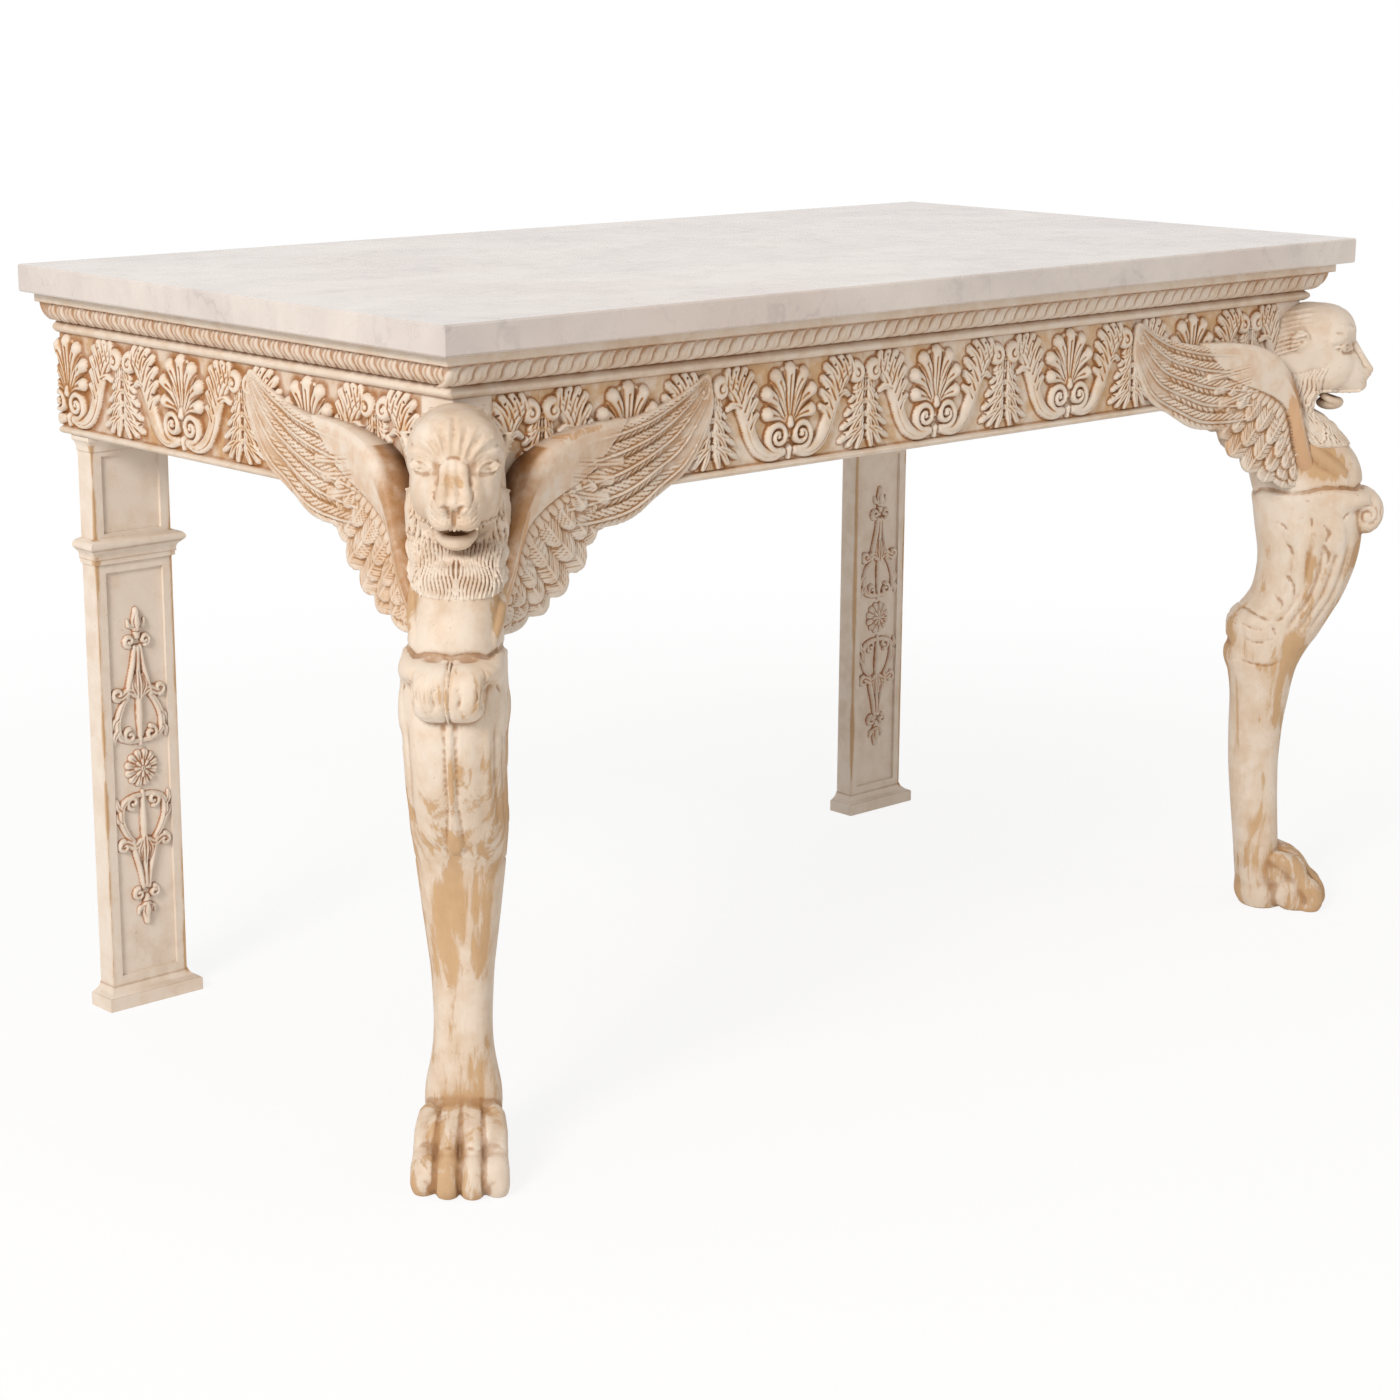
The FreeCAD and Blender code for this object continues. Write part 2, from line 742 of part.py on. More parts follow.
def drop():
    """A hanging husk of leaf tiers that widen toward the foot of the frieze."""
    tall = frieze_height.value * drop_top_share
    wide = D["palmette_pitch"].value * drop_wide_share
    right = []
    for k in range(drop_tiers):
        start = 1.0 - k / drop_tiers
        stop = 1.0 - (k + 1) / drop_tiers
        near = wide * drop_neck_share * (1.0 - start)
        far = wide * (1.0 - stop)
        bulge = upright((near + far) * half * tip_share, tall * (start + stop) * half)
        right.append(Part.Arc(upright(near, tall * start), bulge, upright(far, tall * stop)).toShape())
        neck = far * drop_neck_share if stop > 0 else 0.0
        right.append(Part.makeLine(upright(far, tall * stop), upright(neck, tall * stop)))
    left = [edge.mirror(FreeCAD.Vector(), x_axis) for edge in right]
    return relief(Part.sortEdges(right + left)[0])


def along_frieze(shapes, spots, low, high, move):
    """Copies of a relief along one face, trimmed where the face ends."""
    window = Part.makeBox(high - low, D["relief_depth"].value, frieze_height.value,
                          FreeCAD.Vector(low, -D["relief_depth"].value, 0))
    solids = []
    for spot in spots:
        for shape in shapes:
            piece = shape.copy()
            piece.translate(FreeCAD.Vector(spot, 0, 0))
            box = piece.BoundBox
            if box.XMax <= low or box.XMin >= high:
                continue
            if box.XMin < low or box.XMax > high:
                piece = piece.common(window)
            solids += piece.Solids
    compound = Part.makeCompound(solids)
    compound.Placement = move
    return compound


pitch = D["palmette_pitch"].value
stop = lion_stop.value
front_low = -(side_face.value - stop)
front_spots = [k * pitch for k in range(-2, 3)]
front_drops = [(k + half) * pitch for k in range(-3, 3)]
front_move = FreeCAD.Placement(
    point(none, front_face + plan_shift, frieze_base), FreeCAD.Rotation())
side_run = (rear_face - front_face).value
side_spots = [side_run - D["side_palmette_offset"].value - k * pitch for k in range(3)]
side_drops = [spot - pitch * half for spot in side_spots]
side_move = FreeCAD.Placement(
    point(side_face, front_face + plan_shift, frieze_base), FreeCAD.Rotation(z_axis, 90))
motifs = (
    ("palmettes", [palmette()], front_spots, side_spots),
    ("lyre_arms", [arm(1), arm(-1)], front_spots, side_spots),
    ("leaf_drops", [drop()], front_drops, side_drops),
)
for label, shapes, spots, flank in motifs:
    front_shape = along_frieze(shapes, spots, front_low, -front_low, front_move)
    keep(formed("front_" + label, front_shape), "front_" + label)
    side_shape = along_frieze(shapes, flank, stop, side_run, side_move)
    side_node = keep(formed("right_" + label, side_shape), "right_" + label)
    mirrored("left_" + label, side_node)

# The lion stands on the diagonal of the corner.  Its own frame starts on the floor under
# the corner of the frieze: X runs outward, Y across, Z up.  The leg is a loft through
# level sections: height, back, rear shoulder, fore shoulder, front and half width.
leg_shares = (
    (0.077, -0.47, -0.30, 0.00, 0.20, 0.84), (0.140, -0.53, -0.33, -0.10, 0.09, 0.72),
    (0.210, -0.58, -0.36, -0.16, 0.06, 0.585), (0.280, -0.63, -0.39, -0.19, 0.04, 0.595),
    (0.358, -0.65, -0.39, -0.18, 0.07, 0.695), (0.422, -0.66, -0.38, -0.14, 0.14, 0.80),
    (0.485, -0.74, -0.40, -0.12, 0.22, 0.90), (0.540, -0.73, -0.36, -0.05, 0.47, 0.98),
    (0.580, -0.69, -0.30, 0.02, 0.63, 1.00), (0.611, -0.44, -0.16, 0.14, 0.76, 1.00),
    (0.649, -0.38, -0.10, 0.20, 0.86, 1.00), (0.722, -0.37, -0.10, 0.24, 0.94, 1.00),
    (0.799, -0.46, -0.30, 0.12, 0.95, 0.96), (0.825, -0.60, -0.60, 0.03, 0.95, 0.89),
    (0.867, -0.63, -0.63, 0.03, 0.91, 0.89), (0.911, -0.68, -0.68, 0.03, 0.66, 0.89),
    (0.941, -0.72, -0.72, 0.03, 0.49, 0.89), (0.969, -0.76, -0.76, 0.03, 0.27, 0.89))
leg_top_shares = (-0.80, -0.80, 0.03, 0.23, 0.89)
chest_share = 0.89
core_half = lion_half * chest_share


def section(level, back, rear, fore, front, wide):
    """One level of the leg: rounded behind and before, straight at the sides."""
    reach = D["lion_reach"].value
    across = lion_half.value * wide
    back, rear, fore, front = back * reach, rear * reach, fore * reach, front * reach

    def bow(near, far, sign):
        haunch = near + (far - near) * diagonal_share
        spots = [(near, sign), (haunch, sign * diagonal_share), (far, 0.0),
                 (haunch, -sign * diagonal_share), (near, -sign)]
        curve = Part.BSplineCurve()
        curve.interpolate([FreeCAD.Vector(x, y * across, level) for x, y in spots])
        return curve.toShape()

    def straight(x0, x1, sign):
        return Part.makeLine((x0, sign * across, level), (x1, sign * across, level))

    return Part.Wire([bow(fore, front, -1), straight(fore, rear, 1),
                      bow(rear, back, 1), straight(rear, fore, -1)])


sections = [section(share * rail_base.value, *rest) for share, *rest in leg_shares]
sections.append(section(rail_base.value, *leg_top_shares))
leg_loft = formed("lion_leg_loft", Part.makeLoft(sections, True, True))


def lion_egg(label, centre, radii, foot, rise):
    """A rounded mass whose sizes are shares of the reach, half width and a rise from a foot."""
    reach = D["lion_reach"]
    return egg(label, (reach * centre[0], lion_half * centre[1], foot + rise * centre[2]),
               (reach * radii[0], lion_half * radii[1], rise * radii[2]))


# The paw is a pad and four toes, each given by its centre and radii.
paw_shares = (
    ("lion_pad", (0.04, 0.0, 0.035), (0.48, 0.90, 0.077)),
    ("lion_toe_0", (0.33, -0.75, 0.035), (0.39, 0.27, 0.058)),
    ("lion_toe_1", (0.40, -0.26, 0.035), (0.39, 0.27, 0.058)),
    ("lion_toe_2", (0.40, 0.26, 0.035), (0.39, 0.27, 0.058)),
    ("lion_toe_3", (0.33, 0.75, 0.035), (0.39, 0.27, 0.058)))
paw_members = [leg_loft] + [lion_egg(*row, none, rail_base) for row in paw_shares]
leg_whole = fused("lion_leg_whole", paw_members)
floor_share = 3.0
wide_floor = D["lion_reach"] * floor_share
floor = block("lion_floor", (wide_floor, wide_floor, D["overrun"]),
              (-(wide_floor * half), -(wide_floor * half), -D["overrun"]))
leg_solid = combine("Cut", "lion_leg_solid", leg_whole, floor)


def corner_place(item):
    """Stand a lion piece at the right front corner."""
    place(item, x=side_face, y=front_face + plan_shift, turn=-45.0)
    return item


bolt_in = (D["rail_thickness"] + D["leg_bolt_diameter"] * bolt_edge_share) * -math.sqrt(2)
leg_bore = rod("lion_leg_bore", D["leg_bolt_diameter"], D["leg_bolt_length"], (bolt_in, none, bolt_base))
right_leg = keep(corner_place(combine("Cut", "right_lion_leg", leg_solid, leg_bore)), "right_lion_leg")
mirrored("left_lion_leg", right_leg)

# Leaf scroll at the knee: two round lobes and a rib turned about a level axis.  Its
# overhang sets the plan of the table.
lobe_share = 0.25
rib_share = 0.08
rib_lift_share = 1.04
scroll_level_share = 0.771
scroll_level = rail_base * scroll_level_share
lobe_radius = D["scroll_width"] * lobe_share
eye_radius = D["scroll_radius"] - lobe_radius
scroll_mid = ((D["scroll_overhang"] + D["frieze_inset"]) * math.sqrt(2)
              - lobe_radius - eye_radius - lobe_radius * math.sqrt(2))


def knee_scroll():
    """Turn the profile, drawn as distance across and radius, into the scroll."""
    lobe, eye = lobe_radius.value, eye_radius.value
    rib = D["scroll_width"].value * rib_share
    valley = eye + math.sqrt(lobe ** 2 - (lobe - rib) ** 2)
    crown = D["scroll_radius"].value * rib_lift_share

    def spot(across, radius):
        return FreeCAD.Vector(scroll_mid.value + radius, across, scroll_level.value)

    def lobe_arc(side):
        middle = spot(side * lobe * (1 + diagonal_share), eye + lobe * diagonal_share)
        return Part.Arc(spot(side * lobe * 2, eye), middle, spot(side * rib, valley)).toShape()

    ends = [Part.makeLine(spot(side * lobe * 2, 0), spot(side * lobe * 2, eye)) for side in (-1, 1)]
    arc = Part.Arc(spot(-rib, valley), spot(0, crown), spot(rib, valley)).toShape()
    axle = Part.makeLine(spot(-lobe * 2, 0), spot(lobe * 2, 0))
    wire = Part.Wire(Part.sortEdges(ends + [lobe_arc(-1), arc, lobe_arc(1), axle])[0])
    return Part.Face(wire).revolve(spot(0, 0), y_axis, 360)


scroll = formed("lion_scroll", knee_scroll())
right_scroll = keep(
    corner_place(combine("Cut", "right_knee_scroll", scroll, leg_solid)), "right_knee_scroll")
mirrored("left_knee_scroll", right_scroll)

# Head: skull, brow, muzzle, jaw, mane and ears, hollowed behind to sit on the corner and
# below to sit on the leg.  Its heights are shares of the frieze that it stands before.
head_rise = frieze_top - rail_base
head_shares = (
    ("lion_mane", (-0.05, 0.0, 0.203), (0.32, 0.93, 0.520)),
    ("lion_skull", (0.18, 0.0, 0.504), (0.58, 0.93, 0.485)),
    ("lion_muzzle", (0.60, 0.0, 0.272), (0.40, 0.56, 0.277)),
    ("lion_nose", (0.66, 0.0, 0.404), (0.33, 0.36, 0.153)),
    ("lion_jaw", (0.52, 0.0, -0.082), (0.24, 0.50, 0.118)),
    ("lion_ear_0", (0.04, -0.90, 0.584), (0.13, 0.14, 0.125)),
    ("lion_ear_1", (0.04, 0.90, 0.584), (0.13, 0.14, 0.125)),
    ("lion_brow_0", (0.60, -0.48, 0.612), (0.18, 0.36, 0.111)),
    ("lion_brow_1", (0.60, 0.48, 0.612), (0.18, 0.36, 0.111)))
throat_share = 0.275
below = block("lion_below", (wide_floor, wide_floor, rail_base),
              (D["lion_reach"] * throat_share - wide_floor, -(wide_floor * half), none))
head_members = [lion_egg(*row, rail_base, head_rise) for row in head_shares]
head_full = fused("lion_head_full", head_members)
head_whole = combine("Cut", "lion_head_whole", head_full, below)
notch = block("lion_notch", (wide_floor, wide_floor, D["table_height"]), (none, none, none), turn=135.0)
right_head = keep(corner_place(combine("Cut", "right_lion_head", head_whole, notch)), "right_lion_head")
mirrored("left_lion_head", right_head)

# Wings: each is a family of feathers, thickest at the shoulder, flat behind on the frieze.
# Outlines are shares of the length from the frieze corner and of the height.
primary_count = 5
primary_upper_shares = ((0.30, 0.80), (0.60, 0.87), (0.80, 0.83), (0.925, 0.998))
primary_lower_shares = ((0.42, 0.36), (0.75, 0.36), (1.06, 0.58), (0.945, 0.985))
primary_depth_shares = (0.40, 0.24)
covert_count = 7
covert_root_shares = ((0.40, 0.80), (0.24, 0.62), (0.21, 0.30), (0.11, 0.03))
covert_tip_shares = ((0.548, 0.40), (0.52, 0.19), (0.36, 0.08), (0.15, 0.012))
covert_depth_shares = (0.66, 0.58)
covert_bulge_share = 0.28
shoulder_lead_shares = ((0.10, 0.02), (0.07, 0.45), (0.14, 0.82), (0.43, 0.838))
shoulder_inner_shares = ((0.15, 0.04), (0.23, 0.40), (0.24, 0.66), (0.43, 0.77))
wing_top_share = 0.984
wing_low = rail_base - D["wing_drop"]
wing_height = (frieze_top - wing_low) * wing_top_share


def wing_point(spot):
    return upright(side_face.value - D["wing_length"].value * spot[0],
                   wing_low.value + wing_height.value * spot[1])


def between(first, second, share):
    return tuple(a + (b - a) * share for a, b in zip(first, second))


def bezier(poles):
    curve = Part.BezierCurve()
    curve.setPoles([wing_point(pole) for pole in poles])
    return curve


def blade(edges, depth_share):
    face = Part.Face(Part.Wire(Part.sortEdges(edges)[0]))
    solid = face.extrude(FreeCAD.Vector(0, -D["wing_thickness"].value * depth_share, 0))
    solid.translate(FreeCAD.Vector(0, front_face.value - D["relief_depth"].value, 0))
    return solid


def ribbon(first, second, depth_share):
    """A blade between two long edges."""
    one, two = bezier(first), bezier(second)
    edges = [one.toShape(), two.toShape(),
             Part.makeLine(wing_point(first[0]), wing_point(second[0])),
             Part.makeLine(wing_point(first[-1]), wing_point(second[-1]))]
    return blade(edges, depth_share)


def primary(k):
    rows = [[between(u, v, (k + step) / primary_count)
             for u, v in zip(primary_upper_shares, primary_lower_shares)] for step in (0, 1)]
    depth = between(primary_depth_shares[:1], primary_depth_shares[1:], k / (primary_count - 1))[0]
    return ribbon(rows[0], rows[1], depth)


def covert(k):
    root, tip = bezier(covert_root_shares), bezier(covert_tip_shares)
    ends = [k / covert_count, (k + 1) / covert_count]
    roots = [root.value(share) for share in ends]
    tips = [tip.value(share) for share in ends]
    middle = (tips[0] + tips[1]) * half
    outward = middle - (roots[0] + roots[1]) * half
    outward.normalize()
    crown = middle + outward * (tips[0].distanceToPoint(tips[1]) * covert_bulge_share)
    edges = [Part.makeLine(roots[0], roots[1]), Part.makeLine(roots[1], tips[1]),
             Part.Arc(tips[1], crown, tips[0]).toShape(), Part.makeLine(tips[0], roots[0])]
    depth = between(covert_depth_shares[:1], covert_depth_shares[1:], (k % 2))[0]
    return blade(edges, depth)


feathers = [primary(k) for k in range(primary_count)]
feathers += [covert(k) for k in range(covert_count)]
feathers.append(ribbon(shoulder_lead_shares, shoulder_inner_shares, 1.0))
wing_whole = formed("wing_whole", feathers[0].multiFuse(feathers[1:]).removeSplitter())
core_share = 2.0
core_run = D["lion_reach"] * core_share
core_x = side_face - (core_run + core_half) * diagonal_share
core_y = front_face + (core_run - core_half) * diagonal_share
core = block("wing_core", (core_run + core_run, core_half + core_half, D["table_height"]),
             (core_x, core_y, none), turn=-45.0)
right_front_wing = combine("Cut", "right_front_wing", wing_whole, core)
place(right_front_wing, y=plan_shift)
keep(right_front_wing, "right_front_wing")
right_side_wing = mirrored(
    "right_side_wing", right_front_wing, (side_face, front_face + plan_shift),
    FreeCAD.Vector(1, 1, 0))
mirrored("left_front_wing", right_front_wing)
mirrored("left_side_wing", right_side_wing)

doc.recompute()
problems = []
for item in doc.Objects:
    if "Invalid" in item.State or "Error" in item.State:
        problems.append(item.Name)
for item in nodes:
    if item.Shape.isNull() or not item.Shape.isValid() or not item.Shape.Solids:
        problems.append(item.Label)
if problems:
    raise RuntimeError("pieces that did not build: " + ", ".join(problems))
os.makedirs("parts", exist_ok=True)
for item in nodes:
    item.Shape.exportStep("parts/%s.step" % item.Label)
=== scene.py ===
"""A winged-lion pier table: carved, painted and rubbed wood under a polished marble slab."""
import math

import bpy
import numpy as np
from mathutils import Matrix, Vector


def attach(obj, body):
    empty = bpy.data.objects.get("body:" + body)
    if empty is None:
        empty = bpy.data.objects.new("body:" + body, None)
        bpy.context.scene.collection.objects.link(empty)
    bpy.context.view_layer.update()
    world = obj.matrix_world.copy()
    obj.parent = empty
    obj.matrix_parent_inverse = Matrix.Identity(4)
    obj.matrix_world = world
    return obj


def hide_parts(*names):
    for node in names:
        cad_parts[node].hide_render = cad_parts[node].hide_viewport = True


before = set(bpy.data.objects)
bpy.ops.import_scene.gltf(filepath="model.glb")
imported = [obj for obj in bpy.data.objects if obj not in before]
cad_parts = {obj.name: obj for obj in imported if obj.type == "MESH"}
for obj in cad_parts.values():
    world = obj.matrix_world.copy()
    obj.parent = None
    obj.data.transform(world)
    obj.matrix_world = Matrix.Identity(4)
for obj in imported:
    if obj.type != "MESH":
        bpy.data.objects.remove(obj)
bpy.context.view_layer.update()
MM = 0.001
ROOT2 = math.sqrt(0.5)
TINY, LEAST = 1e-6, 1e-9
SMOOTH, UNSHRINK = 0.5, -0.53

# The edge of the slab and the face of the frieze, in mm.
SLAB_X, SLAB_FRONT = 762.0, -373.0
FACE_X, FACE_FRONT, FACE_REAR = 712.0, -323.0, 420.0
THREE_SIDES = ((-FACE_X, FACE_REAR), (-FACE_X, FACE_FRONT), (FACE_X, FACE_FRONT),
               (FACE_X, FACE_REAR))


# Carver's tools: clay for work in the round, panels for low relief.

def melt(first, second, soft):
    """The nearer of two surfaces, rounded over where they meet."""
    near = np.maximum(soft - np.abs(first - second), 0) / soft
    return np.minimum(first, second) - near * near * soft * 0.25


def ease(value, start, stop):
    """Rises from 0 at start to 1 at stop without a corner."""
    share = np.clip((value - start) / (stop - start), 0, 1)
    return share * share * (3 - 2 * share)


def smear(block, size):
    """Averages a block over 2 * size + 1 samples along each axis."""
    for axis in range(block.ndim):
        margin = [(0, 0)] * block.ndim
        margin[axis] = (size + 1, size)
        total = np.cumsum(np.pad(block, margin, mode="edge"), axis=axis)
        count = total.shape[axis]
        late = np.take(total, np.arange(2 * size + 1, count), axis=axis)
        early = np.take(total, np.arange(0, count - 2 * size - 1), axis=axis)
        block = (late - early) / (2 * size + 1)
    return block


def bend(points, steps=8):
    """A smooth line through a few points."""
    points = np.array(points, float)
    ends = np.vstack([2 * points[0] - points[1], points, 2 * points[-1] - points[-2]])
    share = np.linspace(0, 1, steps, endpoint=False)[:, None]
    line = []
    for p0, p1, p2, p3 in zip(ends, ends[1:], ends[2:], ends[3:]):
        line.append(0.5 * (2 * p1 + (p2 - p0) * share + (2 * p0 - 5 * p1 + 4 * p2 - p3) * share ** 2
                           + (3 * p1 - p0 - 3 * p2 + p3) * share ** 3))
    return np.vstack(line + [points[-1:]])


def coil(centre, start, stop, wide, narrow, steps=28):
    """A flat volute that winds in from a wide to a narrow radius; angles in degrees."""
    angle = np.radians(np.linspace(start, stop, steps))
    radius = np.linspace(wide, narrow, steps)
    return np.stack([centre[0] + radius * np.cos(angle), centre[1] + radius * np.sin(angle)],
                    axis=1)


def egg(centre, radii):
    """A rounded mass with its own radius along each axis."""
    c, r = np.array(centre, float), np.array(radii, float)

    def depth(x, y, z):
        px, py, pz = (x - c[0]) / r[0], (y - c[1]) / r[1], (z - c[2]) / r[2]
        near = np.sqrt(px ** 2 + py ** 2 + pz ** 2)
        slope = np.sqrt((px / r[0]) ** 2 + (py / r[1]) ** 2 + (pz / r[2]) ** 2) + TINY
        return near * (near - 1) / slope
    return c - r, c + r, depth


def limb(points, radii):
    """A round bar along a line of points, thicker and thinner as the radii say."""
    points = np.array(points, float)
    place = np.linspace(0, 1, len(points))
    radii = np.interp(place, np.linspace(0, 1, np.size(radii)), np.atleast_1d(radii))

    def depth(x, y, z):
        best = None
        for p, q, r0, r1 in zip(points, points[1:], radii, radii[1:]):
            d = q - p
            along = ((x - p[0]) * d[0] + (y - p[1]) * d[1] + (z - p[2]) * d[2]) / (d @ d + LEAST)
            along = np.clip(along, 0, 1)
            gap = np.sqrt((x - p[0] - along * d[0]) ** 2 + (y - p[1] - along * d[1]) ** 2
                          + (z - p[2] - along * d[2]) ** 2) - (r0 + (r1 - r0) * along)
            best = gap if best is None else np.minimum(best, gap)
        return best
    return (points - radii[:, None]).min(0), (points + radii[:, None]).max(0), depth


def barrel(centre, radii, half, soft):
    """A roll that lies across, oval in section, with ends rounded by soft."""
    c = np.array(centre, float)

    def depth(x, y, z):
        px, pz = (x - c[0]) / radii[0], (z - c[2]) / radii[1]
        near = np.sqrt(px ** 2 + pz ** 2)
        slope = np.sqrt((px / radii[0]) ** 2 + (pz / radii[1]) ** 2) + TINY
        round_gap = near * (near - 1) / slope
        return -melt(-round_gap, half - np.abs(y - c[1]), soft)
    spread = np.array([radii[0], half, radii[1]])
    return c - spread, c + spread, depth


def soften(points, faces, hollow):
    """Takes the fine steps out of a surface without shrinking its forms."""
    ahead = np.roll(faces, -1, axis=1).ravel()
    one = np.concatenate([faces.ravel(), ahead])
    two = np.concatenate([ahead, faces.ravel()])
    links = np.bincount(one, minlength=len(points))

    def mean(values):
        return np.bincount(one, values[two], len(points)) / links
    for share in (SMOOTH, UNSHRINK) * 3:
        middle = np.stack([mean(column) for column in points.T], axis=1)
        points = points + share * (middle - points)
    for _ in range(2):
        hollow = 0.5 * hollow + 0.5 * mean(hollow)
    return points, faces, hollow


FAR = 40.0
LINE_STEPS = 6
FINE_REACH, FINE_LIMIT = 3.2, 6
BROAD_REACH, BROAD_LIMIT, BROAD_SHARE = 9, 14, 0.35


class Clay:
    """Half of a mass that is alike on both sides of y = 0, kept as depths to its surface."""

    def __init__(self, low, high, step):
        self.step = step
        self.lines = [np.arange(a, b + step, step, dtype=np.float32) for a, b in zip(low, high)]
        self.field = np.full([len(line) for line in self.lines], FAR, np.float32)

    def reach(self, low, high, soft):
        """The part of the block that a mass can touch."""
        margin = soft + 2 * self.step
        ends = [(np.searchsorted(line, a - margin), np.searchsorted(line, b + margin))
                for line, a, b in zip(self.lines, low, high)]
        return tuple(slice(int(first), int(last)) for first, last in ends)

    def spots(self, span=(slice(None),) * 3):
        """The places x, y and z of a part of the block."""
        return np.ix_(*[line[cut] for line, cut in zip(self.lines, span)])

    def work(self, mass, soft, cut):
        """Joins a mass to the clay, or cuts it away."""
        low, high, depth = mass
        span = self.reach(low, high, soft)
        if any(part.start >= part.stop for part in span):
            return
        shape = depth(*self.spots(span))
        old = self.field[span]
        self.field[span] = -melt(-old, shape, soft) if cut else melt(old, shape, soft)

    def add(self, mass, soft):
        self.work(mass, soft, False)

    def cut(self, mass, soft):
        self.work(mass, soft, True)

    def add_eggs(self, centre, radii, soft):
        """Adds an egg and its twin on the other side."""
        x, y, z = centre
        for side in (1, -1):
            self.add(egg((x, side * y, z), radii), soft)

    def add_limb(self, points, radii, soft):
        self.add(limb(bend(points, LINE_STEPS), radii), soft)

    def front(self, y, z):
        """How far out the surface lies at a place across and up."""
        j, k = int(round(abs(y) / self.step)), int(np.searchsorted(self.lines[2], z))
        line = self.field[:, j, k]
        last = int(np.flatnonzero(line < 0)[-1])
        return float(self.lines[0][last] + self.step * line[last] / (line[last] - line[last + 1]))

    def flank(self, x, z):
        """How far across the surface lies at a place out and up."""
        i, k = int(np.searchsorted(self.lines[0], x)), int(np.searchsorted(self.lines[2], z))
        line = self.field[i, :, k]
        inside = np.flatnonzero(line < 0)
        if len(inside) == 0:
            return 0.0
        last = int(inside[-1])
        beyond = line[min(last + 1, len(line) - 1)]
        return float(self.lines[1][last] + self.step * line[last] / (line[last] - beyond - TINY))

    def on_front(self, places, lift=0.0, steps=LINE_STEPS):
        """Points on the front of the surface under a smooth line of (across, up)."""
        return np.array([(self.front(y, z) + lift, y, z) for y, z in bend(places, steps)])

    def on_flank(self, places, lift=0.0, steps=LINE_STEPS):
        """Points on the side of the surface under a smooth line of (out, up)."""
        return np.array([(x, self.flank(x, z) + lift, z) for x, z in bend(places, steps)])

    def outward(self, spots):
        """Which way the surface faces at each spot."""
        x, y, z = spots.T
        i, j, k = [np.clip(np.searchsorted(line, part), 1, len(line) - 2)
                   for line, part in zip(self.lines, (x, np.abs(y), z))]
        f = self.field
        side = np.where(y < 0, -1, 1)
        way = np.stack([f[i + 1, j, k] - f[i - 1, j, k], (f[i, j + 1, k] - f[i, j - 1, k]) * side,
                        f[i, j, k + 1] - f[i, j, k - 1]], axis=1)
        return way / np.maximum(np.linalg.norm(way, axis=1, keepdims=True), TINY)

    def score_front(self, places, radii, soft=1.0, lift=0.0):
        """Cuts a groove along the front of the surface."""
        self.cut(limb(self.on_front(places, lift), radii), soft)

    def score_flank(self, places, radii, soft=1.0, lift=0.0):
        """Cuts a groove along the side of the surface."""
        self.cut(limb(self.on_flank(places, lift), radii), soft)

    def lay(self, line, radii, soft):
        """Lays a strand along points on the surface."""
        self.add(limb(line, radii), soft)

    def skin(self):
        """Closes the surface: points, four-sided faces and how hollow each point lies."""
        half = self.field
        f = np.concatenate([half[:, :0:-1], half], axis=1)
        low = np.array([self.lines[0][0], -self.lines[1][-1], self.lines[2][0]])
        inside = f < 0
        corners = [(i, j, k) for i in (0, 1) for j in (0, 1) for k in (0, 1)]

        def corner(block, at):
            return block[tuple(slice(s, n - 1 + s) for s, n in zip(at, block.shape))]

        # One point in each cell that the surface crosses.
        count = sum(corner(inside, at).astype(np.int8) for at in corners)
        cells = np.argwhere((count > 0) & (count < 8))
        number = np.full(count.shape, -1, np.int32)
        number[tuple(cells.T)] = np.arange(len(cells))
        sums, hits = np.zeros((len(cells), 3)), np.zeros(len(cells))
        for at in corners:
            for axis in range(3):
                if at[axis]:
                    continue
                step = np.eye(3, dtype=int)[axis]
                a = f[tuple((cells + at).T)]
                b = f[tuple((cells + at + step).T)]
                crossed = (a < 0) != (b < 0)
                share = np.where(crossed, a / np.where(crossed, a - b, 1), 0)
                sums += np.where(crossed[:, None], np.array(at) + share[:, None] * step, 0)
                hits += crossed
        points = low + self.step * (cells + sums / hits[:, None])

        # One four-sided face round each edge of the grid that it crosses.
        faces = []
        for axis in range(3):
            one, two = (axis + 1) % 3, (axis + 2) % 3
            lower = np.take(inside, np.arange(f.shape[axis] - 1), axis=axis)
            upper = np.take(inside, np.arange(1, f.shape[axis]), axis=axis)
            edge = np.argwhere(lower != upper)
            keep = ((edge[:, one] > 0) & (edge[:, two] > 0)
                    & (edge[:, one] < f.shape[one] - 1) & (edge[:, two] < f.shape[two] - 1))
            edge = edge[keep]
            ring = []
            for d1, d2 in ((1, 1), (0, 1), (0, 0), (1, 0)):
                at = edge.copy()
                at[:, one] -= d1
                at[:, two] -= d2
                ring.append(number[tuple(at.T)])
            ring = np.stack(ring, axis=1)
            turned = ~lower[tuple(edge.T)]
            ring[turned] = ring[turned][:, ::-1]
            faces.append(ring)

        # Hollows: how far the surface lies below its surroundings, near and wide.
        fine = np.clip(f, -FINE_LIMIT, FINE_LIMIT)
        broad = np.clip(f, -BROAD_LIMIT, BROAD_LIMIT)
        hollow = (fine - smear(fine, max(1, round(FINE_REACH / self.step)))
                  + BROAD_SHARE * (broad - smear(broad, round(BROAD_REACH / self.step))))
        nearest = np.rint((points - low) / self.step).astype(int)
        return soften(points, np.vstack(faces), hollow[tuple(nearest.T)])


ABSENT = -9.0


